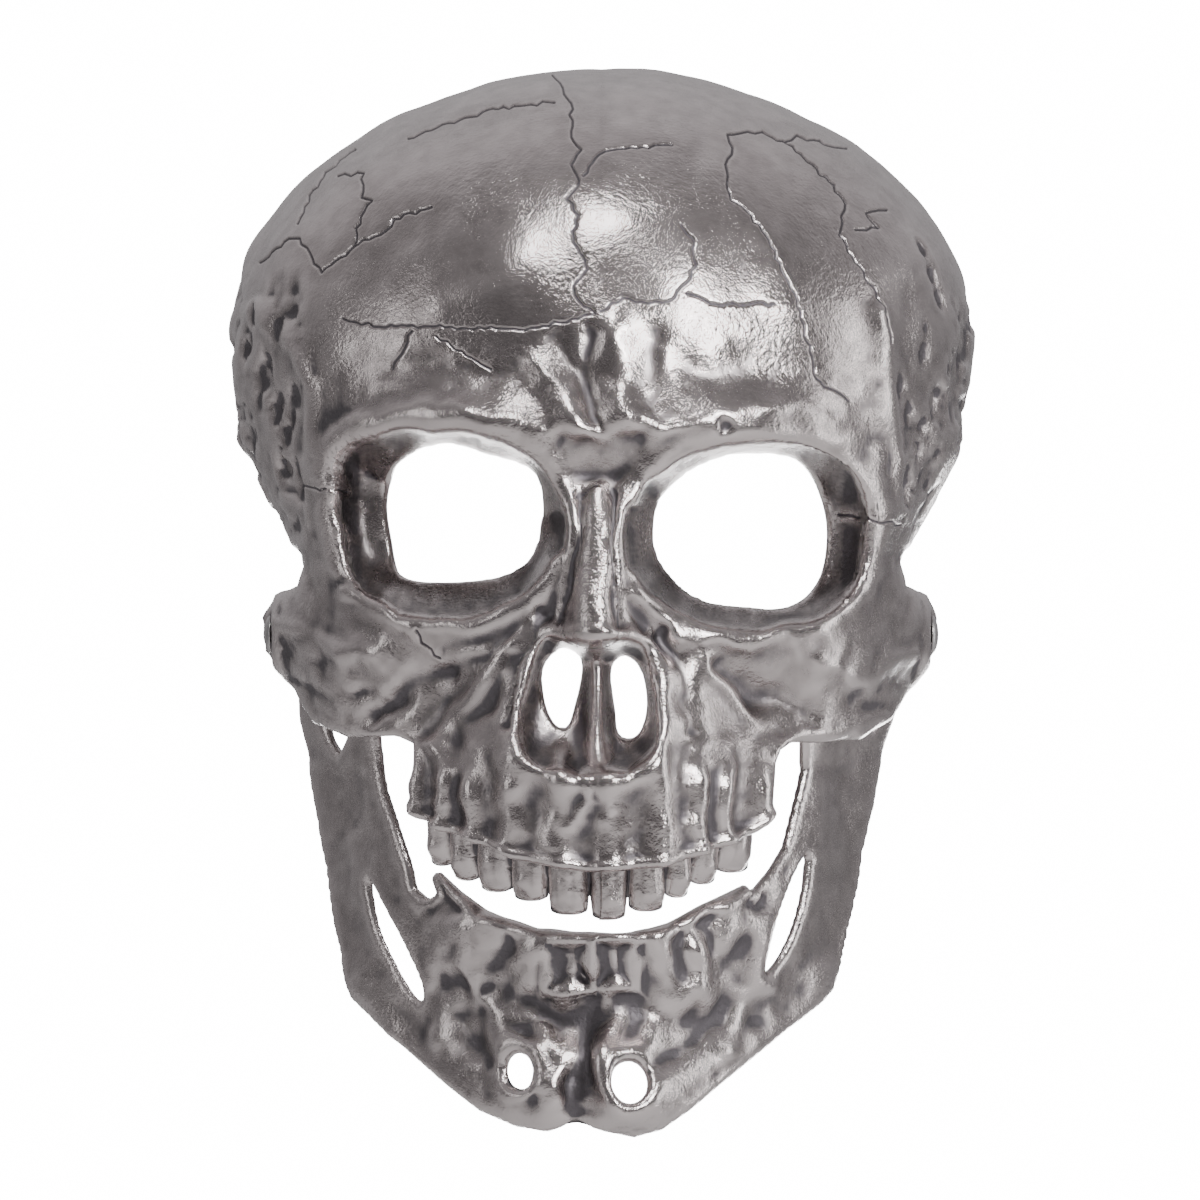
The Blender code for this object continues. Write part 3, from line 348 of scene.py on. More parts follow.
def round_rivet_hole(x, depth, z):
    """Distance outside the hole for the hinge's rivet, which passes across the mask."""
    return np.where(np.abs(x) > 60.0, np.hypot(-depth - HINGE_Y, z - HINGE_Z) - RIVET_HOLE, CLEAR)


def shell_margin(u, v):
    """How far a layout place is inside the shell's blank; negative in holes and outside."""
    x, depth, z, swing = plain_form(u, v)
    tilt = np.degrees(np.arctan2(v, np.abs(u)))
    per_degree = math.radians(1.0) * np.hypot(u, v)
    notch = np.maximum(np.maximum((tilt - NOTCH[1]) * per_degree, (NOTCH[0] - tilt) * per_degree),
                       (NOTCH[2] - swing) * 90.0)
    arch = np.where(tilt < NOTCH[1] - 1.0, depth - ARCH_END, CLEAR)
    margin = np.minimum(np.minimum((0.5 * math.pi - swing) * 90.0, notch), arch)
    margin = np.minimum(margin, depth_inside(FACE, x, z))
    margin = np.minimum(margin, round_rivet_hole(x, depth, z))
    for hole in list(EYE_HOLES.values()) + list(NOSE_HOLES.values()):
        margin = np.minimum(margin, -depth_inside(hole, x, z))
    return margin


# %% [markdown]
# Cutting the blank and laying it over the form
# A grid operator makes the blank, faces outside the outline are deleted, and the ragged edge is
# pulled onto the outline in a few steps.  An extrusion that keeps the original faces gives the sheet
# its second side and closes the rim.  Only then is each corner moved: one side onto the form, the
# other one wall behind it, with the edges eased like a filed casting.

# %% Sheet helpers
BLANK_HALF = 150.0
INNER = -1.0      # height of the inner side while the sheet is still flat
WALL = 3.0
EDGE_EASE = 1.3   # radius of the filed edges
CRACK_WIDTH = 0.34


def faces_where(bm, test):
    """Faces of a flat blank whose middle makes test(u, v) true."""
    faces = list(bm.faces)
    middles = np.array([face.calc_center_median()[:2] for face in faces])
    return [face for face, yes in zip(faces, test(middles[:, 0], middles[:, 1])) if yes]


def trimmed_blank(margin, step, finer=()):
    """A flat grid cut to a blank's outline; faces where a test in finer is true are halved in turn."""
    bm = bmesh.new()
    cells = int(2 * BLANK_HALF / step)
    bmesh.ops.create_grid(bm, x_segments=cells, y_segments=cells, size=BLANK_HALF)
    scrap = faces_where(bm, lambda u, v: margin(u, v) < 0.0)
    bmesh.ops.delete(bm, geom=scrap, context="FACES")
    while True:
        pinched = [vert for vert in bm.verts if sum(edge.is_boundary for edge in vert.link_edges) > 2]
        if not pinched:
            break
        bmesh.ops.delete(bm, geom=list({vert.link_faces[0] for vert in pinched}), context="FACES")
    edge_verts = [vert for vert in bm.verts if vert.is_boundary]
    spots = np.array([vert.co[:2] for vert in edge_verts])
    nudge = 0.02
    for _ in range(5):
        u, v = spots.T
        here = margin(u, v)
        slope = np.stack([margin(u + nudge, v) - here, margin(u, v + nudge) - here], axis=1) / nudge
        move = here[:, None] * slope / np.maximum((slope ** 2).sum(axis=1), 0.2)[:, None]
        length = np.maximum(np.linalg.norm(move, axis=1, keepdims=True), 1e-9)
        spots -= move * np.minimum(1.0, 0.5 * step / length)
    for vert, (u, v) in zip(edge_verts, spots):
        vert.co = (u, v, 0.0)
    inner = [vert for vert in bm.verts if not vert.is_boundary]
    for _ in range(4):
        bmesh.ops.smooth_vert(bm, verts=inner, factor=0.5, use_axis_x=True, use_axis_y=True)
    for wanted in finer:
        edges = {edge for face in faces_where(bm, wanted) for edge in face.edges}
        bmesh.ops.subdivide_edges(bm, edges=list(edges), cuts=1, use_grid_fill=True)
    return bm


def laid_over(name, bm, form, margin, detail, seats=(), wall=WALL, inset=0.0, crack=None):
    """Gives a flat blank its second side and lays both sides over the form."""
    grown = bmesh.ops.extrude_face_region(bm, geom=list(bm.faces), use_keep_orig=True)["geom"]
    new = [item for item in grown if isinstance(item, bmesh.types.BMVert)]
    bmesh.ops.translate(bm, verts=new, vec=(0.0, 0.0, INNER))
    bmesh.ops.triangulate(bm, faces=bm.faces[:])
    bmesh.ops.recalc_face_normals(bm, faces=bm.faces[:])
    mesh = bpy.data.meshes.new(name)
    bm.to_mesh(mesh)
    bm.free()
    flat = np.empty(3 * len(mesh.vertices))
    mesh.vertices.foreach_get("co", flat)
    u, v, layer = flat.reshape(-1, 3).T
    outside = layer > 0.5 * INNER

    def place(a, b):
        x, depth, z, _ = form(a, b)
        return np.stack([x, -depth, z], axis=1)

    h = 0.15
    base = place(u, v)
    normal = np.cross(place(u + h, v) - place(u - h, v), place(u, v + h) - place(u, v - h))
    normal /= np.maximum(np.linalg.norm(normal, axis=1, keepdims=True), 1e-9)
    here, step = margin(u, v), 0.03
    slope = np.hypot(margin(u + step, v) - here, margin(u, v + step) - here) / step
    edge = np.clip(1.0 - np.maximum(here / np.maximum(slope, 1.0), 0.0) / EDGE_EASE, 0.0, 1.0)
    ease = EDGE_EASE * (1.0 - np.sqrt(1.0 - np.minimum(edge, 0.98) ** 2))
    raised = detail(base, u, v)
    offset = np.where(outside, raised - ease, ease - wall)
    points = base + normal * (offset - inset)[:, None]
    for side, seat, at_y, at_z, radius in seats:
        away = np.hypot(points[:, 1] - at_y, points[:, 2] - at_z)
        press = (1.0 - smoothstep((away - radius) / radius)) * (points[:, 0] * side > 0.0)
        level = np.where(outside, seat, seat - wall)
        points[:, 0] += (side * level - points[:, 0]) * press
    mesh.vertices.foreach_set("co", (points * MM).ravel())
    mesh.shade_smooth()
    mesh.update()
    made = bpy.data.objects.new(name, mesh)
    bpy.context.scene.collection.objects.link(made)
    note_hollows(mesh, outside)
    gap = np.full(len(u), CLEAR) if crack is None else crack(base[:, 0], base[:, 2])
    write_layer(mesh, "crack", np.exp(-(gap / CRACK_WIDTH) ** 2) * outside)
    thin_inside(made, outside)
    print(name, len(made.data.polygons), "triangles")
    return made


def thin_inside(made, outside, share=0.66):
    """Spends fewer triangles on the plain inner side, which bends softly."""
    group = made.vertex_groups.new(name="inner_side")
    group.add([int(k) for k in np.flatnonzero(~outside)], 1.0, "REPLACE")
    thin = made.modifiers.new("thin_inside", "DECIMATE")
    thin.ratio, thin.vertex_group, thin.vertex_group_factor = share, "inner_side", 8.0
    graph = bpy.context.evaluated_depsgraph_get()
    thinned = bpy.data.meshes.new_from_object(made.evaluated_get(graph))
    made.modifiers.clear()
    made.vertex_groups.clear()
    made.data = thinned


def write_layer(mesh, name, values):
    """Keeps a number for each corner, which the metal's finish reads by name."""
    mesh.attributes.new(name, "FLOAT", "POINT").data.foreach_set("value", values)


def note_hollows(mesh, outside):
    """Writes how hollow each corner lies, from sharp creases to wide cups, for the patina."""
    count = len(mesh.vertices)
    co = np.empty(3 * count)
    mesh.vertices.foreach_get("co", co)
    co = co.reshape(-1, 3)
    ends = np.empty(2 * len(mesh.edges), int)
    mesh.edges.foreach_get("vertices", ends)
    a, b = ends.reshape(-1, 2).T
    links = np.maximum(np.bincount(a, minlength=count) + np.bincount(b, minlength=count), 1)[:, None]

    def spread(values):
        total = np.zeros_like(values)
        np.add.at(total, a, values[b])
        np.add.at(total, b, values[a])
        return total / links

    normals = np.empty(3 * count)
    mesh.vertex_normals.foreach_get("vector", normals)
    normals = normals.reshape(-1, 3)
    soft = co
    for _ in range(3):
        soft = 0.4 * soft + 0.6 * spread(soft)
    crease = ((soft - co) * normals).sum(axis=1) / MM
    for _ in range(22):
        soft = 0.3 * soft + 0.7 * spread(soft)
    bowl = ((soft - co) * normals).sum(axis=1) / MM
    write_layer(mesh, "crease", np.clip(crease * 4.0, -1.0, 1.0))
    write_layer(mesh, "bowl", np.clip(bowl * 0.8, -1.0, 1.0))
    write_layer(mesh, "inside", 1.0 - outside.astype(float))


# %% [markdown]
# Cracks, sutures and pits
# The real casting was taken from a skull with wandering cracks and pitted temples.  Each crack is a
# few chosen points; a seeded jitter between them gives the sharp zigzag of a bone suture.  The blank
# is divided finer along the cracks only, so that they are cut as real grooves.

# %% Cracks and pits
CRACK_ROUTES = [
    [(-11.8, 108), (-7.2, 101), (-7.2, 92.6), (-4.8, 89.5), (-7.2, 85.7), (-5.3, 81.8), (-8.2, 77.3),
     (-5.5, 73.4), (-6.7, 68.2), (-3.4, 60.5), (-6.7, 56.2), (-5.3, 52.8), (-1.4, 49.7)],
    [(-62, 48.7), (-53.3, 46.8), (-42.7, 46.8), (-19.7, 45.8), (-9.8, 47.5), (-1.4, 49.7)],
    [(-45.4, 45.6), (-50.4, 36.7)],
    [(-39.6, 44.4), (-32.6, 39.8), (-26.6, 36.7)],
    [(-11.3, 101), (-19.7, 100.3), (-28.8, 99.1), (-37, 96.5), (-46.6, 92.6)],
    [(-63.4, 83.5), (-57.1, 83.8), (-57.6, 78), (-55.2, 77.3), (-58.1, 73.4), (-60, 66.5),
     (-67.4, 60), (-72.5, 68.2), (-75.1, 68.2), (-82.8, 62.9)],
    [(-73.2, 72), (-69.8, 80.4), (-65.5, 85.4), (-59.5, 90.2)],
    [(-60, 66.5), (-52.6, 70.3), (-50.4, 73.4), (-41, 75.8)],
    [(35.3, 94.3), (30.5, 93.4), (31.7, 90.2), (29.8, 85.7), (31, 77), (35, 74.2), (38.4, 69.8),
     (42.7, 61.9), (46.3, 54.5), (48.7, 45.8), (51.8, 34.3), (55, 31.9), (59.5, 28.8)],
    [(35.3, 94.3), (38.9, 94.3), (45.1, 91.4), (48.2, 88.8), (49.7, 86.9), (55, 82), (58.8, 76.6),
     (57.4, 69.1), (61, 62.4), (65.3, 56.4), (67.9, 48.5), (68.9, 43)],
    [(44.4, 91.9), (47.3, 93.6), (56.2, 90.2), (59, 90)],
    [(68.6, 75.1), (63.8, 74.4), (66.7, 70.8), (61.2, 70.3)],
    [(19, 71), (21.8, 67.9), (22.8, 61.2), (20.2, 56.9), (16.3, 52.6), (11.3, 52.1), (5.3, 53.5),
     (-0.2, 50.2)],
    [(20.6, 54.5), (26.2, 52.1), (41.3, 52.1)],
    [(-4.3, 83), (-0.5, 88.3), (5.8, 89.8), (17, 90.7)],
    [(-72.2, 8.9), (-61.4, 7.2)],
    [(57, 1.7), (71.8, -0.7)],
    [(-43.7, -25.9), (-42.7, -28.6), (-38.6, -32.6)],
]


def crack_line(route, rng, stride=1.3, stray=0.5):
    """A route with a jagged stray between its points."""
    line = [np.array(route[0], float)]
    for start, end in zip(route, route[1:]):
        start, end = np.array(start, float), np.array(end, float)
        length = np.linalg.norm(end - start)
        across = np.array([start[1] - end[1], end[0] - start[0]]) / max(length, 1e-6)
        pieces = max(int(length / stride), 1)
        for k in range(1, pieces):
            line.append(start + (end - start) * k / pieces + across * rng.uniform(-stray, stray))
        line.append(end)
    return line


rng = np.random.default_rng(7)
CRACKS = [crack_line(route, rng) for route in CRACK_ROUTES]


def crack_distance(x, z):
    """Distance to the nearest crack or to the fainter seam round the nose bones."""
    nearest = line_distance(NOSE_BONES, x, z, closed=True) + 0.25
    for line in CRACKS:
        nearest = np.minimum(nearest, line_distance(line, x, z))
    return nearest


# Places seen from the front, radius and depth of each pit in the temples.
TEMPLE_PITS = [
    (78.2, 40.3, 2.2, 1.3), (85, 36.7, 2.0, 1.4), (88.4, 37.7, 1.8, 1.2), (72.7, 32.2, 2.4, 1.3),
    (81.6, 29, 2.6, 1.6), (75, 26, 2.0, 1.2), (79, 23.6, 2.2, 1.5), (77.8, 17, 2.8, 1.7),
    (74.2, 8.2, 4.2, 2.2), (77.8, 65.5, 2.2, 1.4), (80, 60, 2.4, 1.5), (82.3, 54, 2.2, 1.4),
    (-84.2, 50.2, 2.2, 1.3), (-78.5, 46, 2.6, 1.4), (-87.3, 41.5, 2.2, 1.4), (-81.6, 38.4, 2.4, 1.5),
    (-79.4, 26.4, 2.6, 1.7), (-75.8, 24.7, 2.0, 1.3), (-76.8, 21, 2.6, 1.6), (-78, 12.7, 3.0, 1.9),
    (-74.2, 13.2, 2.4, 1.5), (-73.2, 8.2, 2.6, 1.6), (29, 22.8, 1.5, 1.1),
]
print(len(CRACKS), "cracks,", len(TEMPLE_PITS), "pits")


# %% Fine relief of the shell
# Soft ridges and furrows: a line seen from the front, its height, and its half width.
SHELL_FOLDS = [
    ([(-16.5, 38), (-10.5, 30), (-6, 21)], 1.4, 3.2),
    ([(-12, 43), (-5.5, 34), (-3, 24)], -0.9, 2.2),
    ([(-2.5, 44), (-3.5, 36), (-2.4, 28), (-1, 22)], -1.0, 2.4),
    ([(-9, 19), (-1, 17), (8, 19)], -1.2, 2.6),
    ([(-5, 6), (-4.8, -6), (-8.9, -24)], -1.4, 1.3),
    ([(2.9, 6), (2.5, -6), (4.9, -24)], -1.4, 1.3),
    ([(-2.4, -18), (-2.6, -26)], 0.9, 3.6),
    ([(3, 46), (3.5, 36), (6, 26)], 1.8, 3.6),
    ([(12, 44), (11, 34), (14, 26)], -0.8, 3.0),
    ([(-58, 23), (-44, 27), (-28, 27), (-16, 22)], 1.2, 3.4),
    ([(-50, 37), (-34, 37), (-20, 36)], -0.9, 4.0),
    ([(14, 22), (30, 26), (46, 26), (58, 20)], 1.2, 3.4),
    ([(22, 36), (36, 37), (50, 35)], -0.8, 4.0),
    ([(-83.5, 52), (-76, 44), (-70, 33.6), (-69, 29), (-69, 11)], 1.3, 2.4),
    ([(66, 50), (69.4, 34.6), (70.3, 27), (71, 3.4)], 1.3, 2.4),
    ([(-64, 18), (-66.5, 4), (-63, -10)], 0.9, 2.4),
    ([(65, 16), (67, 2), (65, -12)], 0.9, 2.4),
    ([(-62, -16), (-47, -25), (-32, -25.5), (-18, -19), (-11, -9)], 1.1, 2.0),
    ([(-44, -27), (-38, -33), (-28, -30)], 0.8, 1.6),
    ([(-37, -35), (-46, -41), (-55, -47)], -2.0, 2.6),
    ([(-17, -24), (-25, -35), (-34, -46), (-39, -54)], 1.4, 2.6),
    ([(-22, -33), (-29, -45)], -1.0, 2.4),
    ([(-14.5, -22), (-20, -34), (-23, -48)], -1.2, 1.8),
    ([(-80, -24), (-66, -29), (-54, -31)], 1.0, 2.6),
    ([(-78, -36), (-66, -42), (-56, -42)], -0.9, 2.4),
    ([(9, -18), (22, -27), (36, -28), (52, -25), (63, -16)], 1.2, 2.2),
    ([(19, -27), (28, -37), (37, -47), (42, -54)], 1.4, 2.6),
    ([(14, -26), (19, -38), (22, -50)], -1.2, 2.0),
    ([(29, -35), (38, -41), (49, -45)], -2.0, 3.2),
    ([(48, -33), (62, -37), (76, -31)], 1.0, 3.0),
    ([(44, -51), (56, -51), (68, -46)], 0.8, 1.6),
    ([(-10.5, 2), (-8.5, -10), (-12, -22)], -1.0, 2.0),
    ([(8, 2), (6.5, -12), (9, -24)], -1.0, 2.0),
    ([(-2.5, -60), (-2, -66), (-5.5, -73)], 1.2, 1.6),
    ([(-1, 6), (-1.2, -6), (-2.2, -20)], 1.3, 3.6),
    ([(-60, 60), (-48, 70), (-30, 76)], -0.9, 7.0),
    ([(-20, 70), (-24, 58), (-36, 52)], 0.8, 6.0),
    ([(26, 84), (40, 66), (44, 52)], 0.7, 5.0),
]


def folds_rise(folds, x, z):
    """Ridges and furrows along lines that wander a little, with uneven height."""
    rise = np.zeros_like(x)
    wander_x = x + 1.5 * lumps(x, z, 9.0, 50.0) + 0.5 * lumps(x, z, 4.0, 51.0)
    wander_z = z + 1.5 * lumps(x, z, 9.0, 60.0) + 0.5 * lumps(x, z, 4.0, 61.0)
    uneven = 1.0 + 0.35 * lumps(x, z, 7.0, 70.0)
    for line, height, width in folds:
        rise += height * uneven * np.exp(-(line_distance(line, wander_x, wander_z) / width) ** 2)
    return rise


def shell_detail(base, u, v):
    """Height over the form of everything finer than the face's large forms."""
    x, z = base[:, 0], base[:, 2]
    plain = 1.0 - 0.7 * smoothstep((z - 38.0) / 10.0)
    rise = 0.5 * lumps(u, v, 19.0) + plain * (0.3 * lumps(u, v, 7.0, 3.0) + 0.12 * lumps(u, v, 3.0, 9.0))
    gap = crack_distance(x, z)
    rise -= 0.5 * np.exp(-(gap / 0.30) ** 2)
    temple = smoothstep((np.abs(x) - 70.0) / 5.0) * smoothstep((z + 6.0) / 8.0)
    temple *= smoothstep((66.0 - z) / 18.0)
    dents = smoothstep((lumps(u, v, 10.5, 21.0) + 0.35 * lumps(u, v, 4.0, 22.0) + 0.05) / 0.9)
    rise -= temple * (0.9 + 1.5 * dents - 0.5 * lumps(u, v, 14.0, 23.0))
    for px, pz, radius, depth in TEMPLE_PITS:
        centre = base[np.argmin((x - px) ** 2 + (z - pz) ** 2 + 40.0 * (base[:, 1] > -4.0))]
        away = np.linalg.norm(base - centre, axis=1) * (1.0 + 0.25 * lumps(u, v, 2.6, 5.0))
        rise -= depth * np.exp(-(away / (1.2 * radius)) ** 3)
    roots = smoothstep((-50.0 - z) / 14.0)
    for left, right in zip(TOOTH_GAPS, TOOTH_GAPS[1:]):
        centre, half = 0.5 * (left + right), 0.5 * (right - left)
        sway = centre + 1.1 * lumps(v, u, 12.0, centre) + 0.5 * lumps(u, v, 5.0, 24.0)
        rise += 2.4 * roots * np.exp(-((x - sway) / (0.64 * half)) ** 2)
    muzzle = smoothstep((-44.0 - z) / 10.0)
    rise += muzzle * (0.7 * lumps(u, v, 7.5, 12.0) + 0.25 * lumps(u, v, 3.6, 17.0))
    cheek = hump(x, z, (-57.0, -36.0), (16.0, 11.0)) + 0.7 * hump(x, z, (60.0, -36.0), (14.0, 10.0))
    rise += cheek * (1.2 * lumps(u, v, 8.0, 30.0) + 0.5 * lumps(u, v, 3.8, 31.0))
    rise += folds_rise(SHELL_FOLDS, x, z)
    lip = edge_height(GUM_EDGE, x)
    rise += 1.2 * np.exp(-((z - lip - 1.4) / 1.3) ** 2) * (np.abs(x) < 47.0)
    return rise


def face_and_cracks(u, v):
    """Where the blank is divided finer: the carved face, and a strip along each crack."""
    x, _, z, _ = plain_form(u, v)
    carved = (np.abs(x) < 58.0) & (z < 44.0)
    return carved | (crack_distance(x, z) < 1.8)


def cracks_only(u, v):
    """A narrower strip along each crack, divided once more."""
    x, _, z, _ = plain_form(u, v)
    return crack_distance(x, z) < 0.9


SHELL_STEP = 1.45
SIDES = {"left": -1.0, "right": 1.0}
bm = trimmed_blank(shell_margin, SHELL_STEP, finer=(face_and_cracks, cracks_only))
seats = [(side, SEAT, HINGE_Y, HINGE_Z, SEAT_RADIUS) for side in SIDES.values()]
skull = laid_over("skull_casting", bm, shell_form, shell_margin, shell_detail, seats,
                  crack=crack_distance)
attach(skull, "mask")
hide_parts("skull_shell")

# %% [markdown]
# The upper teeth
# The teeth are a separate casting behind the gum: one band whose lower edge is cut between the teeth
# and whose front is rounded into crowns.  Cutting the gaps in the flat blank keeps each crown's edge
# smooth; the rounding is then part of the relief, as a carver would do it.

# %% Upper teeth
ROOT_LIFT = 6.0       # how far the band reaches up behind the gum
TOOTH_INSET = 6.0     # the band's front lies this far behind the shell's outer face
TOOTH_WALL = 2.6
TOOTH_STEP = 0.62


def tooth_across(x):
    """Place across each tooth, -1 to 1, and its tip's height."""
    across, tip = np.full(np.shape(x), 2.0), np.zeros(np.shape(x))
    for left, right, level in zip(TOOTH_GAPS, TOOTH_GAPS[1:], TOOTH_TIPS):
        here = (2.0 * x - left - right) / (right - left)
        across = np.where(np.abs(here) <= 1.0, here, across)
        tip = np.where(np.abs(here) <= 1.0, level, tip)
    return across, tip


def tooth_margin(u, v):
    """How far a layout place is inside the band of teeth; the gaps between crowns are outside."""
    x, _, z, _ = shell_form(u, v)
    across, tip = tooth_across(x)
    bottom = tip + 1.5 * np.abs(across) ** 3 + 4.5 * smoothstep((np.abs(across) - 0.86) / 0.14)
    gum = edge_height(GUM_EDGE, x)
    ends = np.minimum(x - TOOTH_GAPS[0], TOOTH_GAPS[-1] - x)
    return np.minimum(np.minimum(z - bottom, gum + ROOT_LIFT - z), ends)


def tooth_detail(base, u, v):
    """Round crowns with two faint grooves each, pulled in at the tips."""
    x, z = base[:, 0], base[:, 2]
    across, tip = tooth_across(x)
    crown = np.maximum(1.0 - np.minimum(np.abs(across), 1.0) ** 2.1, 0.0) ** 0.85
    taper = smoothstep((z - tip + 1.0) / 7.0)
    rise = 3.6 * crown * (0.60 + 0.40 * taper) - 1.7 - 1.1 * (1.0 - smoothstep((z - tip) / 4.5))
    grooves = np.exp(-((np.abs(across) - 0.38) / 0.14) ** 2) * smoothstep((z - tip - 1.0) / 6.0)
    return rise - 0.25 * grooves + 0.35 * lumps(u, v, 4.0, 2.0) + 0.10 * lumps(u, v, 1.8, 7.0)


bm = trimmed_blank(tooth_margin, TOOTH_STEP)
teeth = laid_over("upper_teeth_casting", bm, shell_form, tooth_margin, tooth_detail,
                  wall=TOOTH_WALL, inset=TOOTH_INSET)
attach(teeth, "mask")
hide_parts("upper_tooth_row")

# %% [markdown]
# The lower jaw
# The jaw is a second casting bowed round the chin, with two branches that reach up inside the
# cheekbone arches and end in an eye round each rivet.  Its form is simpler than the face's: at each
# height it is a wide arc, so the layout plane wraps round it like a label round a jar.

# %% Outline and form of the jaw
JAW_LEFT = curve_through([(-150, 66), (-125, 69), (-112, 72), (-106, 72.5), (-97, 73.2), (-87, 73.6),
                          (-78, 74), (-68, 74.4), (-58, 75), (-49, 76.6), (-39, 76.8), (-28, 76.2),
                          (-15, 76)])
JAW_RIGHT = curve_through([(-150, 61), (-125, 63), (-112, 66), (-106, 67), (-97, 68), (-87, 69),
                           (-78, 69.6), (-68, 70.6), (-58, 71.6), (-49, 74), (-39, 76.2),
                           (-28, 76.2), (-15, 76)])
JAW_DEPTH = curve_through([(-150, 104), (-140, 110), (-128, 111), (-115, 108), (-98, 111), (-15, 111)])
JAW_REAR = curve_through([(-150, 60), (-110, 44), (-80, 33), (-40, 21), (-28, 20), (-15, 20)])
JAW_OUTLINE = np.array([
    (-95, -18.5), (-72.6, -18.5), (-71, -30), (-69, -42), (-66, -53), (-64, -55.8), (-62.4, -53),
    (-60.5, -46), (-57.5, -43.5), (-54.8, -47), (-54, -58), (-53, -64), (-50, -72.7), (-46.8, -82.3),
    (-45.6, -88), (-42.5, -90.6), (-40.2, -89.3), (-41.5, -85.4), (-40.2, -83.6), (-35, -88.3),
    (-28.6, -92.8), (-23.8, -94.6), (-15.6, -97), (-0.5, -98.2), (7.7, -98), (17, -95.8),
    (24.7, -91.8), (30.2, -89.4), (35.4, -87), (37, -88.8), (41.3, -83.8), (45, -77.8), (48, -66),
    (49.4, -60), (49.2, -50), (52.5, -44.5), (56, -43.5), (59.5, -47), (62, -51.5), (66, -50),
    (69, -42), (71, -30), (72.4, -18.5), (95, -18.5), (95, -106), (62.5, -106.5), (53, -116),
    (41, -125.6), (29, -135), (22, -141), (15, -146), (8, -147.8), (1, -146.4), (-6, -144.6),
    (-13, -146.2), (-21, -145.2), (-30, -141.2), (-38, -135), (-49, -125.6), (-59.5, -116),
    (-67.5, -108.5), (-95, -108)], float)
JAW_SLOTS = {
    "left": closed_curve([(-56.8, -86), (-53.2, -92), (-47.8, -102), (-43.6, -112), (-45, -115),
                          (-49.5, -109), (-55, -97.5)]),
    "right": closed_curve([(50.3, -80), (47.4, -84), (43.4, -94), (40, -107.5), (43, -106), (47.2, -98),
                           (49.8, -88)]),
}
JAW_LIP = JAW_OUTLINE[17:31]
CHIN_HOLES = {"left": ((-20.2, -130.8), (3.1, 3.8)), "right": ((6.8, -133.7), (4.4, 4.8))}
SOCKETS = [-34, -26.5, -17.5, -7.5, 4.5, 14, 22, 29.5]


def jaw_relief(x, z):
    """Chin bosses, a rim round each chin hole, and the sockets' swellings."""
    relief = 5.0 * hump(x, z, (-14.0, -139.0), (13.0, 9.0))
    relief += 5.0 * hump(x, z, (10.0, -140.0), (12.0, 9.0))
    relief -= 3.0 * hump(x, z, (-5.0, -137.0), (5.0, 9.0))
    for (cx, cz), (rx, rz) in CHIN_HOLES.values():
        ring = np.hypot((x - cx) / (rx + 2.6), (z - cz) / (rz + 2.6))
        relief += 1.8 * np.exp(-((ring - 1.0) / 0.35) ** 2)
    for at in SOCKETS:
        relief += 2.0 * hump(x, z, (at, -104.5 + 0.004 * at * at), (3.6, 5.5))
    return relief - 3.0 * hump(x, z, (-3.0, -119.0), (26.0, 6.0))


def jaw_form(u, v):
    """Layout plane to form: X, depth in front of the rear rim, Z, and the turn round the bow."""
    z = v
    half = np.where(u < 0.0, JAW_LEFT(z), JAW_RIGHT(z))
    turn = np.clip(u / half, -0.5 * math.pi, 0.5 * math.pi)
    x = half * np.sin(turn)
    bow = np.maximum(1.0 - np.abs(np.sin(turn)) ** 1.7, 0.0) ** 0.62
    tuck = 9.0 * smoothstep((z + 86.0) / 30.0) * smoothstep((np.abs(x) - 30.0) / 20.0)
    fade = smoothstep((1.40 - np.abs(turn)) / 0.4)
    depth = JAW_DEPTH(z) * bow + fade * (jaw_relief(x, z) - 0.35 * tuck)
    return x, depth, z, turn


EYE_ROOT = np.array([28.0, -46.0])   # depth and height where the neck of the rivet's eye starts


def rivet_eye(depth, z):
    """How far a place is inside the eye round the rivet, or its neck down into the branch."""
    hinge = np.array([-HINGE_Y, HINGE_Z])
    neck = EYE_ROOT - hinge
    place = np.stack([depth, z], axis=-1) - hinge
    along = np.clip(place @ neck / (neck @ neck), 0.0, 1.0)
    return SEAT_RADIUS - np.linalg.norm(place - along[..., None] * neck, axis=-1)


def jaw_margin(u, v):
    """How far a layout place is inside the jaw's blank; negative in holes and outside."""
    x, depth, z, _ = jaw_form(u, v)
    margin = np.minimum(depth_inside(JAW_OUTLINE, x, z), depth - JAW_REAR(z))
    margin = np.maximum(margin, rivet_eye(depth, z))
    margin = np.minimum(margin, round_rivet_hole(x, depth, z))
    for slot in JAW_SLOTS.values():
        margin = np.minimum(margin, -depth_inside(slot, x, z))
    for (cx, cz), (rx, rz) in CHIN_HOLES.values():
        ring = np.hypot((x - cx) / rx, (z - cz) / rz)
        margin = np.minimum(margin, (ring - 1.0) * min(rx, rz))
    return margin


# %% Fine relief of the jaw
JAW_FOLDS = [
    ([(-3, -112), (-4.5, -122), (-6, -134), (-5, -147)], -1.8, 2.6),
    ([(-32, -104), (-28, -114), (-16, -120)], 1.6, 3.2),
    ([(24, -103), (22, -113), (12, -120)], 1.6, 3.2),
    ([(-36, -118), (-28, -128), (-18, -138)], -1.0, 3.0),
    ([(30, -116), (22, -126), (14, -128)], -1.2, 3.0),
    ([(-14, -122), (-10, -130), (-14, -141)], 1.4, 3.4),
    ([(2, -121), (0, -130), (4, -142)], 1.2, 3.0),
    ([(-61, -62), (-63, -82), (-58, -100), (-44, -120)], -0.9, 4.0),
    ([(59, -60), (60, -82), (54, -100), (44, -116)], -0.9, 4.0),
    ([(-70, -60), (-71, -82), (-66, -104), (-50, -122)], 0.8, 3.0),
    ([(68, -60), (67, -82), (62, -102), (48, -120)], 0.8, 3.0),
]
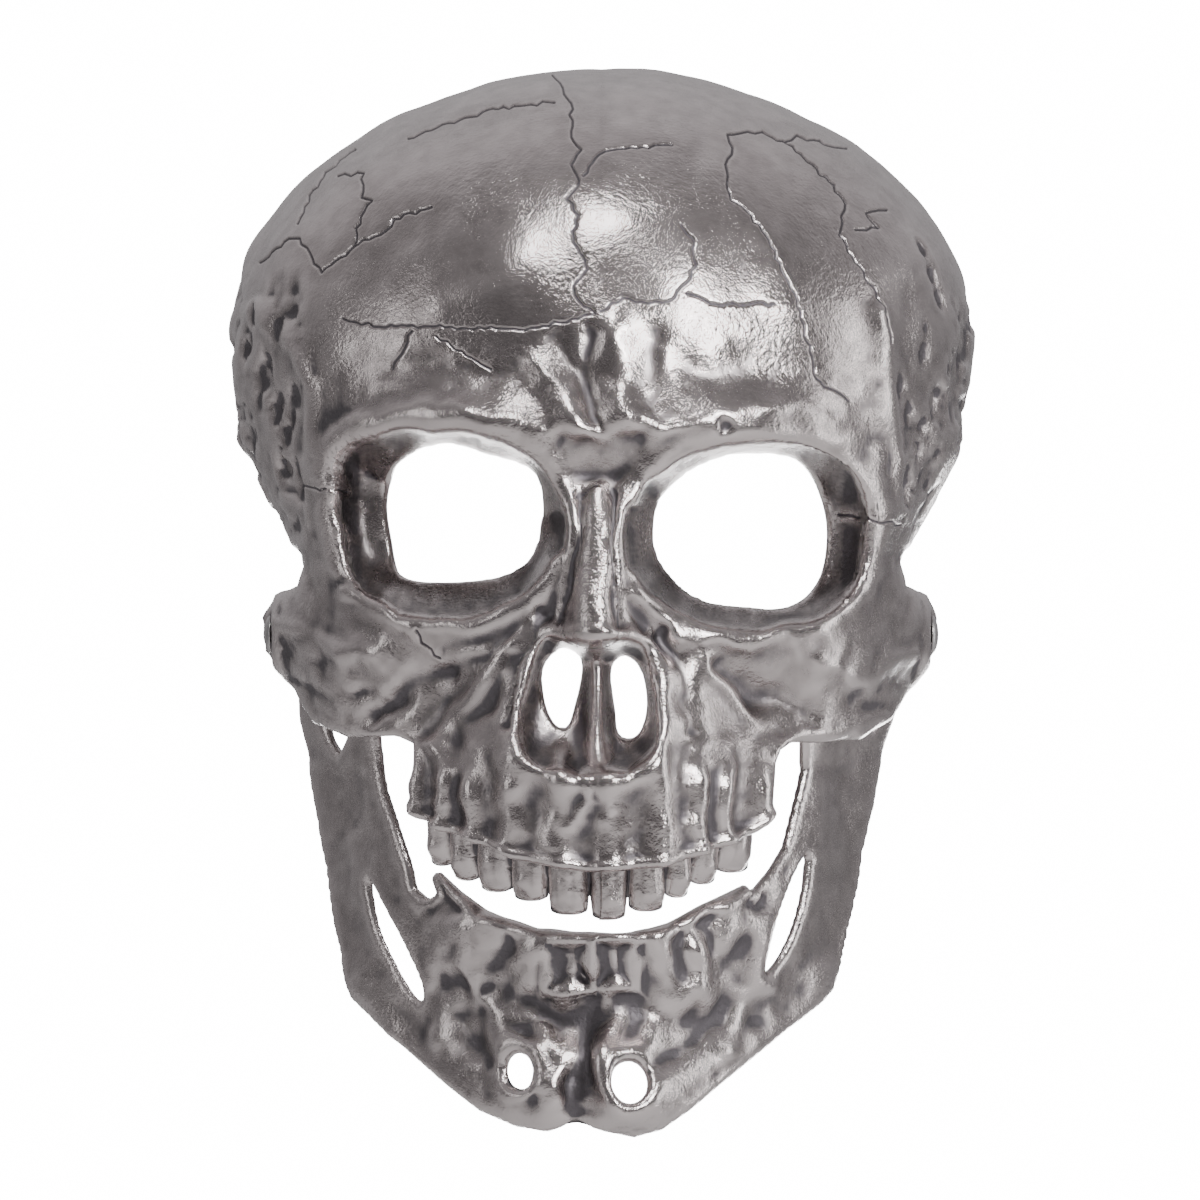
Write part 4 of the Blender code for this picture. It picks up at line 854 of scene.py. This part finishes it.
SQUARE_PITS = [(-12.4, -3.2, -111.0, -100.5), (-1.2, 7.8, -110.5, -100.0)]


def jaw_detail(base, u, v):
    """Height over the form of the jaw's folds, lumps and sockets, calm near its edges."""
    x, z = base[:, 0], base[:, 2]
    turn = np.abs(jaw_form(u, v)[3])
    calm = smoothstep((1.35 - turn) / 0.45) * smoothstep(jaw_margin(u, v) / 4.0)
    rise = calm * (0.6 * lumps(u, v, 14.0, 6.0) + 0.3 * lumps(u, v, 6.0, 2.0)
                   + 0.1 * lumps(u, v, 2.6, 8.0))
    band = smoothstep((48.0 - np.abs(x)) / 10.0) * smoothstep((z + 131.0) / 8.0)
    band *= smoothstep(jaw_margin(u, v) / 3.0)
    rise += band * (1.7 * lumps(u, v, 8.0, 40.0) + 0.8 * lumps(u, v, 4.4, 44.0))
    chin = smoothstep((-126.0 - z) / 6.0) * smoothstep(jaw_margin(u, v) / 4.0)
    rise += chin * (0.5 * lumps(u, v, 4.6, 15.0) + 0.25 * lumps(u, v, 2.4, 16.0))
    for low_x, high_x, low_z, high_z in SQUARE_PITS:
        sx, sz = x + 0.7 * lumps(u, v, 5.0, 80.0), z + 0.7 * lumps(u, v, 5.0, 81.0)
        depth_in = np.minimum(np.minimum(sx - low_x, high_x - sx), np.minimum(sz - low_z, high_z - sz))
        rise += 1.0 * np.exp(-((depth_in + 1.0) / 1.5) ** 2) - 1.8 * smoothstep((depth_in + 0.6) / 2.8)
    rise += folds_rise(JAW_FOLDS, x, z)
    for at in SOCKETS:
        level = -98.0 + 0.006 * at * at
        rise -= 1.1 * hump(x + 0.8 * lumps(u, v, 6.0, 82.0), z, (at + 4.6, level - 3.0), (1.9, 7.0))
    lip = edge_height(JAW_LIP, x)
    return rise + 1.0 * np.exp(-((lip - 1.8 - z) / 1.4) ** 2) * (np.abs(x) < 38.0)


JAW_STEP = 1.0
bm = trimmed_blank(jaw_margin, JAW_STEP)
tab_seats = [(side, TAB, HINGE_Y, HINGE_Z, SEAT_RADIUS) for side in SIDES.values()]
jaw = laid_over("jaw_casting", bm, jaw_form, jaw_margin, jaw_detail, tab_seats)
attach(jaw, "jaw")
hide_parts("lower_jaw")

# %% [markdown]
# Rivets, anchors and buttons
# The jaw turns on two rivets.  A rivet is round about one axis, so half of its section is drawn once
# and spun.  The strap hangs on two press buttons, also spun, and on two small plates with rounded
# edges that are glued inside the side walls.

# %% Spun hardware and rounded plates
LEAN = math.radians(11.0)       # of the side walls where the strap hangs
DOME_RADIUS, DOME_HEIGHT, DOME_GAP = 0.0046, 0.0016, 0.0003
SHANK_RADIUS = 0.0020
PLATE = (0.002, 0.0156, 0.0236)  # thickness, length and height of a strap plate


def edges_along_x(bm, least):
    """Edges that run further than least along X."""
    return [edge for edge in bm.edges if abs(edge.verts[0].co.x - edge.verts[1].co.x) > least]


def finished(name, bm, body, nodes, smooth=True):
    """Makes an object of a finished bmesh, in metres, hangs it on a body and hides the frame parts it
    replaces.
    """
    mesh = bpy.data.meshes.new(name)
    bm.to_mesh(mesh)
    bm.free()
    if smooth:
        mesh.shade_smooth()
    made = bpy.data.objects.new(name, mesh)
    bpy.context.scene.collection.objects.link(made)
    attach(made, body)
    if nodes:
        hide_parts(*nodes)
    print(name, len(mesh.polygons), "faces")
    return made


def spun(section, centre, axis, steps=40):
    """Spins (along the axis, radius) pairs about an axis through centre; lengths in metres."""
    bm = bmesh.new()
    row = [bm.verts.new((radius, 0.0, along)) for along, radius in section]
    edges = [bm.edges.new(pair) for pair in zip(row, row[1:])]
    bmesh.ops.spin(bm, geom=row + edges, cent=(0, 0, 0), axis=(0, 0, 1), dvec=(0, 0, 0),
                   angle=math.tau, steps=steps, use_merge=True)
    bmesh.ops.remove_doubles(bm, verts=bm.verts[:], dist=1e-6)
    bmesh.ops.recalc_face_normals(bm, faces=bm.faces[:])
    turn = Vector(axis).to_track_quat("Z", "Y").to_matrix().to_4x4()
    bmesh.ops.transform(bm, verts=bm.verts[:], matrix=Matrix.Translation(centre) @ turn)
    return bm


rivets = []
for label, side in SIDES.items():
    low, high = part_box("hinge_rivet_" + label)
    head, tip = SEAT * MM + DOME_GAP, min(abs(low[0]), abs(high[0]))
    dome = [(head + DOME_HEIGHT * math.cos(turn), DOME_RADIUS * math.sin(turn))
            for turn in np.radians([75, 60, 45, 30, 15])]
    section = [(tip, 0.0), (tip, 0.0013), (tip + 0.0003, 0.0019), (tip + 0.0005, SHANK_RADIUS),
               (head, SHANK_RADIUS), (head, 0.0043), (head + 0.0002, DOME_RADIUS)]
    section += dome + [(head + DOME_HEIGHT, 0.0)]
    bm = spun(section, (0.0, HINGE[1], HINGE[2]), (side, 0.0, 0.0))
    rivets.append(finished("hinge_rivet_dome_" + label, bm, "mask", ["hinge_rivet_" + label]))

# %% Strap plates and buttons
BUTTON_BACK = 0.0021      # from the plate's middle to the button's collar
HEAD_START = -0.0011
# Places along the button from its collar, and radii: a ringed head, then the shank.
BUTTON_HEAD = [(-0.0014, 0.0), (-0.0014, 0.0009), (-0.0010, 0.0013), (-0.0012, 0.0022),
               (-0.0011, 0.0031), (-0.0006, 0.0040), (-0.0002, 0.0042), (0.0, 0.0040), (0.0, 0.0016)]
BUTTON_SHANK = [(0.0028, 0.0016), (0.0028, 0.0)]
anchors, buttons, strap_half = [], [], 0.0
for label, side in SIDES.items():
    low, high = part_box("strap_anchor_" + label)
    centre = 0.5 * (Vector(low) + Vector(high))
    axis = Vector((side * math.cos(LEAN), 0.0, math.sin(LEAN)))
    tilt = Matrix.Rotation(-side * LEAN, 4, "Y")
    bm = bmesh.new()
    bmesh.ops.create_cube(bm, size=1.0)
    bmesh.ops.scale(bm, verts=bm.verts[:], vec=PLATE)
    corners = edges_along_x(bm, 0.5 * PLATE[0])
    bmesh.ops.bevel(bm, geom=corners, offset=0.003, segments=5, affect="EDGES", profile=0.5, material=-1)
    for flat in [face for face in bm.faces if abs(face.normal.x) > 0.9]:
        bmesh.ops.inset_region(bm, faces=[flat], thickness=0.0012, depth=-0.0002)
    rims = [edge for edge in bm.edges if len(edge.link_faces) == 2 and edge.calc_face_angle(0.0) > 1.2]
    bmesh.ops.bevel(bm, geom=rims, offset=0.0003, segments=2, affect="EDGES", profile=0.5, material=-1)
    bmesh.ops.transform(bm, verts=bm.verts[:], matrix=Matrix.Translation(centre) @ tilt)
    anchors.append(finished("strap_plate_" + label, bm, "mask", ["strap_anchor_" + label],
                            smooth=False))
    middle = centre - axis * BUTTON_BACK
    strap_half = max(strap_half, abs(middle.x))
    section = [(HEAD_START + along, radius) for along, radius in BUTTON_HEAD] + BUTTON_SHANK
    bm = spun(section, middle, axis, steps=32)
    buttons.append(finished("strap_snap_" + label, bm, "mask", ["strap_button_" + label]))
print("strap plates %.2f mm from the middle" % (strap_half / MM))

# %% [markdown]
# The elastic strap
# The strap is woven elastic, 24 mm wide and as thick as a coin.  It starts as a flat ribbon with its
# edges rounded, gets its own map along and across the weave while it is flat, and is then bent round
# the back of the head and leaned with the side walls.

# %% Strap
STRAP_LEVEL, STRAP_WIDTH, STRAP_THICK = 0.046, 0.024, 0.0015
STRAP_FRONT, STRAP_BACK, STRAP_BEND = -0.022, 0.052, 0.040
BUTTON_HOLE, HOLE_FROM_END = 0.0021, 0.008
EDGE_ROUND = 0.0012


def strap_station(along):
    """Place in plan, direction and lean of the strap at a length from its middle."""
    side = math.copysign(1.0, along)
    run = abs(along)
    straight = strap_half - STRAP_BEND
    arc = 0.5 * math.pi * STRAP_BEND
    if run <= straight:
        return Vector((side * run, STRAP_BACK, 0.0)), Vector((side, 0.0, 0.0)), 0.0
    if run <= straight + arc:
        angle = (run - straight) / STRAP_BEND
        spot = (side * (straight + STRAP_BEND * math.sin(angle)),
                STRAP_BACK - STRAP_BEND + STRAP_BEND * math.cos(angle), 0.0)
        heading = (side * math.cos(angle), -math.sin(angle), 0.0)
        return Vector(spot), Vector(heading), LEAN * angle / (0.5 * math.pi)
    rest = run - straight - arc
    return Vector((side * strap_half, STRAP_BACK - STRAP_BEND - rest, 0.0)), Vector((0.0, -1.0, 0.0)), LEAN


half_run = strap_half - STRAP_BEND + 0.5 * math.pi * STRAP_BEND + STRAP_BACK - STRAP_BEND - STRAP_FRONT
bm = bmesh.new()
bmesh.ops.create_grid(bm, x_segments=230, y_segments=14, size=1.0)
bmesh.ops.scale(bm, verts=bm.verts[:], vec=(half_run, 0.5 * STRAP_WIDTH, 1.0))
for end in (-1.0, 1.0):
    eyelet = Vector((end * (half_run - HOLE_FROM_END), 0.0, 0.0))
    hole = [face for face in bm.faces if (face.calc_center_median() - eyelet).length < BUTTON_HOLE]
    bmesh.ops.delete(bm, geom=hole, context="FACES")
layer = bm.loops.layers.uv.new("weave")
for face in bm.faces:
    for loop in face.loops:
        loop[layer].uv = (loop.vert.co.x / STRAP_WIDTH, loop.vert.co.y / STRAP_WIDTH + 0.5)
bmesh.ops.solidify(bm, geom=bm.faces[:], thickness=STRAP_THICK)
top = max(vert.co.z for vert in bm.verts)
for vert in bm.verts:
    edge = min(0.5 * STRAP_WIDTH - abs(vert.co.y), half_run - abs(vert.co.x))
    round_off = 1.0 - 0.45 * max(0.0, 1.0 - edge / EDGE_ROUND) ** 2
    height = (vert.co.z - top + 0.5 * STRAP_THICK) * round_off
    spot, heading, lean = strap_station(vert.co.x)
    side = math.copysign(1.0, vert.co.x)
    up = Vector((-side * math.sin(lean), 0.0, math.cos(lean)))
    out = heading.cross(up).normalized() * side
    vert.co = spot + Vector((0.0, 0.0, STRAP_LEVEL)) + up * vert.co.y + out * height
bmesh.ops.recalc_face_normals(bm, faces=bm.faces[:])
strap = finished("elastic_strap", bm, "mask", ["head_strap"])
print("strap length along its middle %.0f mm" % (2.0 * half_run / MM))

# %% [markdown]
# The slider
# A moulded loop closes round the strap at the back of the head.  A box without ends is rounded along
# its length, given a wall and then raised ribs for the fingers.

# %% Slider
SLIDER_WALL, SLIDER_CORNER = 0.0018, 0.0014
RIB_HEIGHT, RIB_SPACING = 0.00035, 0.0024
RIM_LENGTH = 0.0008
low, high = (Vector(corner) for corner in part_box("strap_slider"))
centre, size = 0.5 * (low + high), high - low
bm = bmesh.new()
bmesh.ops.create_cube(bm, size=1.0)
bmesh.ops.scale(bm, verts=bm.verts[:], vec=size)
bmesh.ops.delete(bm, geom=[face for face in bm.faces if abs(face.normal.x) > 0.9], context="FACES_ONLY")
bmesh.ops.bevel(bm, geom=edges_along_x(bm, 0.5 * size.x), offset=SLIDER_CORNER, segments=4,
                affect="EDGES", profile=0.5, material=-1)
bmesh.ops.subdivide_edges(bm, edges=edges_along_x(bm, 0.5 * size.x), cuts=39)
bmesh.ops.recalc_face_normals(bm, faces=bm.faces[:])
if sum(face.normal.dot(face.calc_center_median()) for face in bm.faces) < 0.0:
    bmesh.ops.reverse_faces(bm, faces=bm.faces[:])
bmesh.ops.solidify(bm, geom=bm.faces[:], thickness=SLIDER_WALL)
for vert in bm.verts:
    if abs(vert.co.y) > 0.5 * size.y - 0.0006:
        ribbed = smoothstep((0.75 * 0.5 * size.x - abs(vert.co.x)) / 0.001)
        rib = RIB_HEIGHT * ribbed * (0.5 + 0.5 * math.cos(math.tau * vert.co.x / RIB_SPACING))
        rim = RIB_HEIGHT * smoothstep((abs(vert.co.x) - 0.5 * size.x + RIM_LENGTH) / RIM_LENGTH)
        vert.co.y -= math.copysign(RIB_HEIGHT - rib + rim, vert.co.y)
bmesh.ops.translate(bm, verts=bm.verts[:], vec=centre)
bmesh.ops.recalc_face_normals(bm, faces=bm.faces[:])
slider = finished("strap_tri_glide", bm, "slider", ["strap_slider"])

# %% [markdown]
# Foam pads
# The pads are closed-cell foam with a knitted face, cut thick and soft, so that they crown in the
# middle and pull in at their edges.  Air pressure inside a cloth does that: the pad is remeshed
# evenly, blown up a little with the Cloth simulation, and the result is kept as its mesh.

# %% Pads
PAD_NODES = {"brow_pad": "mask", "crown_pad": "mask", "cheek_pad_left": "mask",
             "cheek_pad_right": "mask", "chin_pad": "jaw"}
PAD_TRIM = (0.95, 0.88, 0.90)   # leaves room to swell
PAD_VOXEL = 0.0011
PAD_SWELL = 0.0009              # at most this far outwards
PAD_PRESSURE, PAD_STIFFNESS, PAD_FRAMES = 4.0, 8.0, 20


def vertex_places(mesh):
    flat = np.empty(3 * len(mesh.vertices))
    mesh.vertices.foreach_get("co", flat)
    return flat.reshape(-1, 3)


def foam_cushion(node, body):
    """Blows a pad up a little, softens it, hangs it on a body and hides the frame part it replaces."""
    source = frame["nodes"][node]
    bm = bmesh.new()
    bm.from_mesh(source.data)
    bmesh.ops.remove_doubles(bm, verts=bm.verts[:], dist=1e-6)
    bmesh.ops.transform(bm, verts=bm.verts[:], matrix=source.matrix_world)
    middle = sum((vert.co for vert in bm.verts), Vector()) / len(bm.verts)
    bmesh.ops.scale(bm, verts=bm.verts[:], vec=PAD_TRIM, space=Matrix.Translation(-middle))
    mesh = bpy.data.meshes.new(node + "_cushion")
    bm.to_mesh(mesh)
    bm.free()
    pad = bpy.data.objects.new(node + "_cushion", mesh)
    bpy.context.scene.collection.objects.link(pad)
    remesh = pad.modifiers.new("even", "REMESH")
    remesh.mode, remesh.voxel_size = "VOXEL", PAD_VOXEL
    graph = bpy.context.evaluated_depsgraph_get()
    even = bpy.data.meshes.new_from_object(pad.evaluated_get(graph))
    pad.modifiers.clear()
    pad.data = even
    start = vertex_places(even)
    move = np.zeros_like(start)
    cloth = pad.modifiers.new("swell", "CLOTH")
    cloth.settings.use_pressure = True
    cloth.settings.uniform_pressure_force = PAD_PRESSURE
    cloth.settings.effector_weights.gravity = 0.0
    cloth.settings.tension_stiffness = cloth.settings.compression_stiffness = PAD_STIFFNESS
    cloth.point_cache.frame_start, cloth.point_cache.frame_end = 1, PAD_FRAMES
    for step in range(1, PAD_FRAMES + 1):
        bpy.context.scene.frame_set(step)
    graph = bpy.context.evaluated_depsgraph_get()
    swollen = bpy.data.meshes.new_from_object(pad.evaluated_get(graph))
    move = vertex_places(swollen) - start
    pad.modifiers.clear()
    bpy.context.scene.frame_set(1)
    length = np.maximum(np.linalg.norm(move, axis=1, keepdims=True), 1e-9)
    places = start + move * np.minimum(1.0, PAD_SWELL / length)
    even.vertices.foreach_set("co", places.ravel())
    bm = bmesh.new()
    bm.from_mesh(even)
    for _ in range(6):
        bmesh.ops.smooth_vert(bm, verts=bm.verts[:], factor=0.5, use_axis_x=True, use_axis_y=True,
                              use_axis_z=True)
    bm.to_mesh(even)
    bm.free()
    even.shade_smooth()
    soft = pad.modifiers.new("smooth", "SUBSURF")
    soft.levels = soft.render_levels = 1
    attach(pad, body)
    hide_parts(node)
    print(node, len(even.polygons), "faces, pushed out by up to %.2f mm before the cap" % (length.max() / MM))
    return pad


pads = [foam_cushion(node, body) for node, body in PAD_NODES.items()]

# %% [markdown]
# A way to write finishes
# A finish is arithmetic on patterns.  A small class holds a node's output and turns +, -, * into Math
# nodes, so a mask can be written as 1 - noise * 2.  One method adds every other kind of node.

# %% Shader helpers
class Wire:
    """An output socket that can be used in arithmetic; each operation adds a Math node."""

    def __init__(self, finish, socket):
        self.finish, self.socket = finish, socket

    def math(self, operation, *others):
        values = dict(enumerate((self,) + others))
        return self.finish.add("ShaderNodeMath", {"operation": operation}, values)

    def flipped(self, operation, other):
        return self.finish.add("ShaderNodeMath", {"operation": operation}, {0: other, 1: self})

    def __add__(self, other):
        return self.math("ADD", other)

    def __sub__(self, other):
        return self.math("SUBTRACT", other)

    def __mul__(self, other):
        return self.math("MULTIPLY", other)

    def __rsub__(self, other):
        return self.flipped("SUBTRACT", other)

    __radd__ = __add__
    __rmul__ = __mul__

    def beside(self, name):
        """Another output of the same node."""
        return Wire(self.finish, self.socket.node.outputs[name])

    def between(self, low, high):
        """0 below low, 1 above high, and a smooth rise between them."""
        return self.finish.add("ShaderNodeMapRange", {"interpolation_type": "SMOOTHSTEP", "clamp": True},
                               {"Value": self, "From Min": low, "From Max": high})


class Finish:
    """A material that is being wired."""

    def __init__(self, name, **constants):
        self.material = bpy.data.materials.new(name)
        self.material.use_nodes = True
        self.tree = self.material.node_tree
        self.shader = self.tree.nodes["Principled BSDF"]
        for socket, value in constants.items():
            self.shader.inputs[socket.replace("_", " ")].default_value = value
        self.places = self.add("ShaderNodeTexCoord", output="Object")

    def add(self, kind, settings=None, sockets=None, output=0):
        node = self.tree.nodes.new(kind)
        for key, value in (settings or {}).items():
            setattr(node, key, value)
        for key, value in (sockets or {}).items():
            self.join(value, node.inputs[key])
        return Wire(self, node.outputs[output])

    def join(self, value, socket):
        if isinstance(value, Wire):
            self.tree.links.new(value.socket, socket)
        else:
            socket.default_value = value

    def noise(self, scale, detail, rough):
        return self.add("ShaderNodeTexNoise", None, {"Vector": self.places, "Scale": scale,
                                                     "Detail": detail, "Roughness": rough})

    def dimples(self, scale):
        return self.add("ShaderNodeTexVoronoi", {"feature": "SMOOTH_F1"},
                        {"Vector": self.places, "Scale": scale}, "Distance")

    def attribute(self, name):
        return self.add("ShaderNodeAttribute", {"attribute_name": name}, None, "Fac")

    def blend(self, factor, first, second):
        """Mixes two colours; first where factor is 0."""
        return self.add("ShaderNodeMix", {"data_type": "RGBA", "clamp_factor": True},
                        {0: factor, 6: first, 7: second}, 2)

    def surface(self, **values):
        for socket, value in values.items():
            self.join(value, self.shader.inputs[socket.replace("_", " ")])

    def bump(self, height, distance, strength):
        return self.add("ShaderNodeBump", None,
                        {"Height": height, "Distance": distance, "Strength": strength})


# %% [markdown]
# Aged nickel
# The casting was plated with nickel and rubbed back: bright on every ridge, nearly black where the
# patina stayed in creases, pits and cups.  The hollowness noted while the sheets were laid drives
# the colour and the roughness.  The skin is faintly hammered: small dimples in two sizes, stronger in
# some patches, and a fine grain that breaks the highlights into sparks.

# %% Aged nickel
nickel = Finish("aged_nickel", Metallic=1.0)
crease, bowl, crack, inside = (nickel.attribute(name) for name in ("crease", "bowl", "crack", "inside"))
mottle = nickel.noise(160.0, 4.0, 0.6)
fine = nickel.noise(900.0, 3.0, 0.6)
grain = nickel.noise(2300.0, 2.0, 0.6)
dark = (crease * 1.4 + bowl * 0.14 + crack * 0.6 + mottle * 0.6 + fine * 0.35 - 0.46).between(0.0, 0.95)
rubbed = (mottle * 0.35 - crease - bowl * 0.25 - 0.05).between(0.0, 0.7)
body_tone = nickel.blend(mottle.between(0.3, 0.75), (0.42, 0.378, 0.372, 1), (0.52, 0.468, 0.462, 1))
bright = nickel.blend(rubbed, body_tone, (0.66, 0.60, 0.59, 1))
aged = nickel.blend(dark, bright, (0.150, 0.138, 0.148, 1))
behind = nickel.blend(inside * 0.6, aged, (0.26, 0.245, 0.245, 1))
rough = 0.18 + dark * 0.24 - rubbed * 0.05 + fine * 0.13 + inside * 0.18
patches = nickel.noise(38.0, 2.0, 0.5).between(0.46, 0.62)
wide, tight = nickel.dimples(430.0), nickel.dimples(900.0)
skin = (wide * 0.22 + tight * 0.28 + fine * 0.6) * (0.35 + patches * 0.65) + grain * 0.2
hammered = nickel.bump(skin, 0.00042, 0.9)
nickel.surface(Base_Color=behind, Roughness=rough, Normal=hammered)
for piece in (skull, teeth, jaw):
    piece.data.materials.append(nickel.material)
print("aged nickel on", skull.name, teeth.name, jaw.name)

# %% [markdown]
# Steel, nylon, foam and elastic
# The small parts are seen close up from the sides and the back.  Steel gets smudges and a fine
# roughness, nylon a faint orange-peel skin, the pads a knitted face, and the elastic a real weave:
# lengthwise cords crossed by a rib, written on the strap's own map so that it follows the bend, with
# a rectangle of stitches at each end.

# %% Hardware and soft finishes
WALE_SPACING, COURSE_SPACING = 0.0011, 0.0009
steel = Finish("rivet_steel_finish", Metallic=1.0)
streak = steel.noise(700.0, 4.0, 0.7)
smudge = steel.noise(220.0, 2.0, 0.5)
steel.surface(Base_Color=steel.blend(smudge, (0.42, 0.41, 0.41, 1), (0.60, 0.59, 0.58, 1)),
              Roughness=0.24 + streak * 0.22, Normal=steel.bump(streak, 0.00008, 0.6))
for piece in rivets + anchors + buttons:
    piece.data.materials.append(steel.material)

nylon = Finish("black_nylon")
peel, dust = nylon.noise(1800.0, 2.0, 0.5), nylon.noise(300.0, 4.0, 0.6)
nylon.surface(Base_Color=nylon.blend(dust, (0.022, 0.022, 0.024, 1), (0.055, 0.054, 0.056, 1)),
              Roughness=0.38 + dust * 0.2, Normal=nylon.bump(peel, 0.00006, 0.5))
slider.data.materials.append(nylon.material)

knit = Finish("knitted_foam_face", Sheen_Weight=0.35, Sheen_Roughness=0.5)
level = knit.add("ShaderNodeSeparateXYZ", None, {"Vector": knit.places}, "X")
wales = (level * (math.tau / WALE_SPACING)).math("SINE")
courses = (level.beside("Z") * (math.tau / COURSE_SPACING) + wales * 0.8).math("SINE")
loops = (wales * courses) * 0.5 + 0.5
lint = knit.noise(420.0, 4.0, 0.65)
yarn_tone = knit.blend(loops * 0.6 + lint * 0.4, (0.028, 0.028, 0.031, 1), (0.115, 0.113, 0.118, 1))
knit.surface(Base_Color=yarn_tone,
             Roughness=0.78 + lint * 0.18, Normal=knit.bump(loops + lint * 0.5, 0.00022, 0.8))
for pad in pads:
    pad.data.materials.append(knit.material)

elastic = Finish("woven_elastic", Sheen_Weight=0.25, Sheen_Roughness=0.4)
weave = elastic.add("ShaderNodeUVMap", {"uv_map": "weave"}, None, 0)
along = elastic.add("ShaderNodeSeparateXYZ", None, {"Vector": weave}, "X")
across = along.beside("Y")
cords = (across * (math.tau * 15.0)).math("SINE")
picks = (along * (math.tau * 24.0) + cords.math("SIGN") * (0.5 * math.pi)).math("SINE")
twist = (along * (math.tau * 96.0) + across * 60.0).math("SINE")
yarn = cords.math("ABSOLUTE") * 0.6 + picks * 0.35 + twist * 0.08
fuzz = elastic.noise(900.0, 4.0, 0.7)
selvedge = (across - 0.5).math("ABSOLUTE").between(0.455, 0.475)
thread = elastic.blend((yarn * 0.7 + fuzz * 0.3).between(0.1, 0.9), (0.014, 0.014, 0.016, 1),
                       (0.085, 0.083, 0.088, 1))
from_end = half_run / STRAP_WIDTH - along.math("ABSOLUTE")
rows = 1.0 - ((from_end - 0.36).math("ABSOLUTE") - 0.29).math("ABSOLUTE").between(0.008, 0.016)
dashes = (across * (math.tau * 9.0)).math("SINE").between(-0.35, -0.1)
stitches = rows * dashes * (1.0 - (across - 0.5).math("ABSOLUTE").between(0.40, 0.42))
sewn = elastic.blend(stitches, elastic.blend(selvedge * 0.5, thread, (0.016, 0.016, 0.018, 1)),
                     (0.30, 0.29, 0.29, 1))
relief = elastic.bump(yarn + fuzz * 0.3 + stitches * 1.2, 0.00030, 0.85)
elastic.surface(Base_Color=sewn, Roughness=0.66 + fuzz * 0.2, Normal=relief)
strap.data.materials.append(elastic.material)

for node, finish in (("hinge_washer_left", nylon), ("hinge_washer_right", nylon),
                     ("hinge_clip_left", steel), ("hinge_clip_right", steel)):
    for held in frame["nodes"][node].material_slots:
        held.material = finish.material
print(len(bpy.data.materials), "materials")
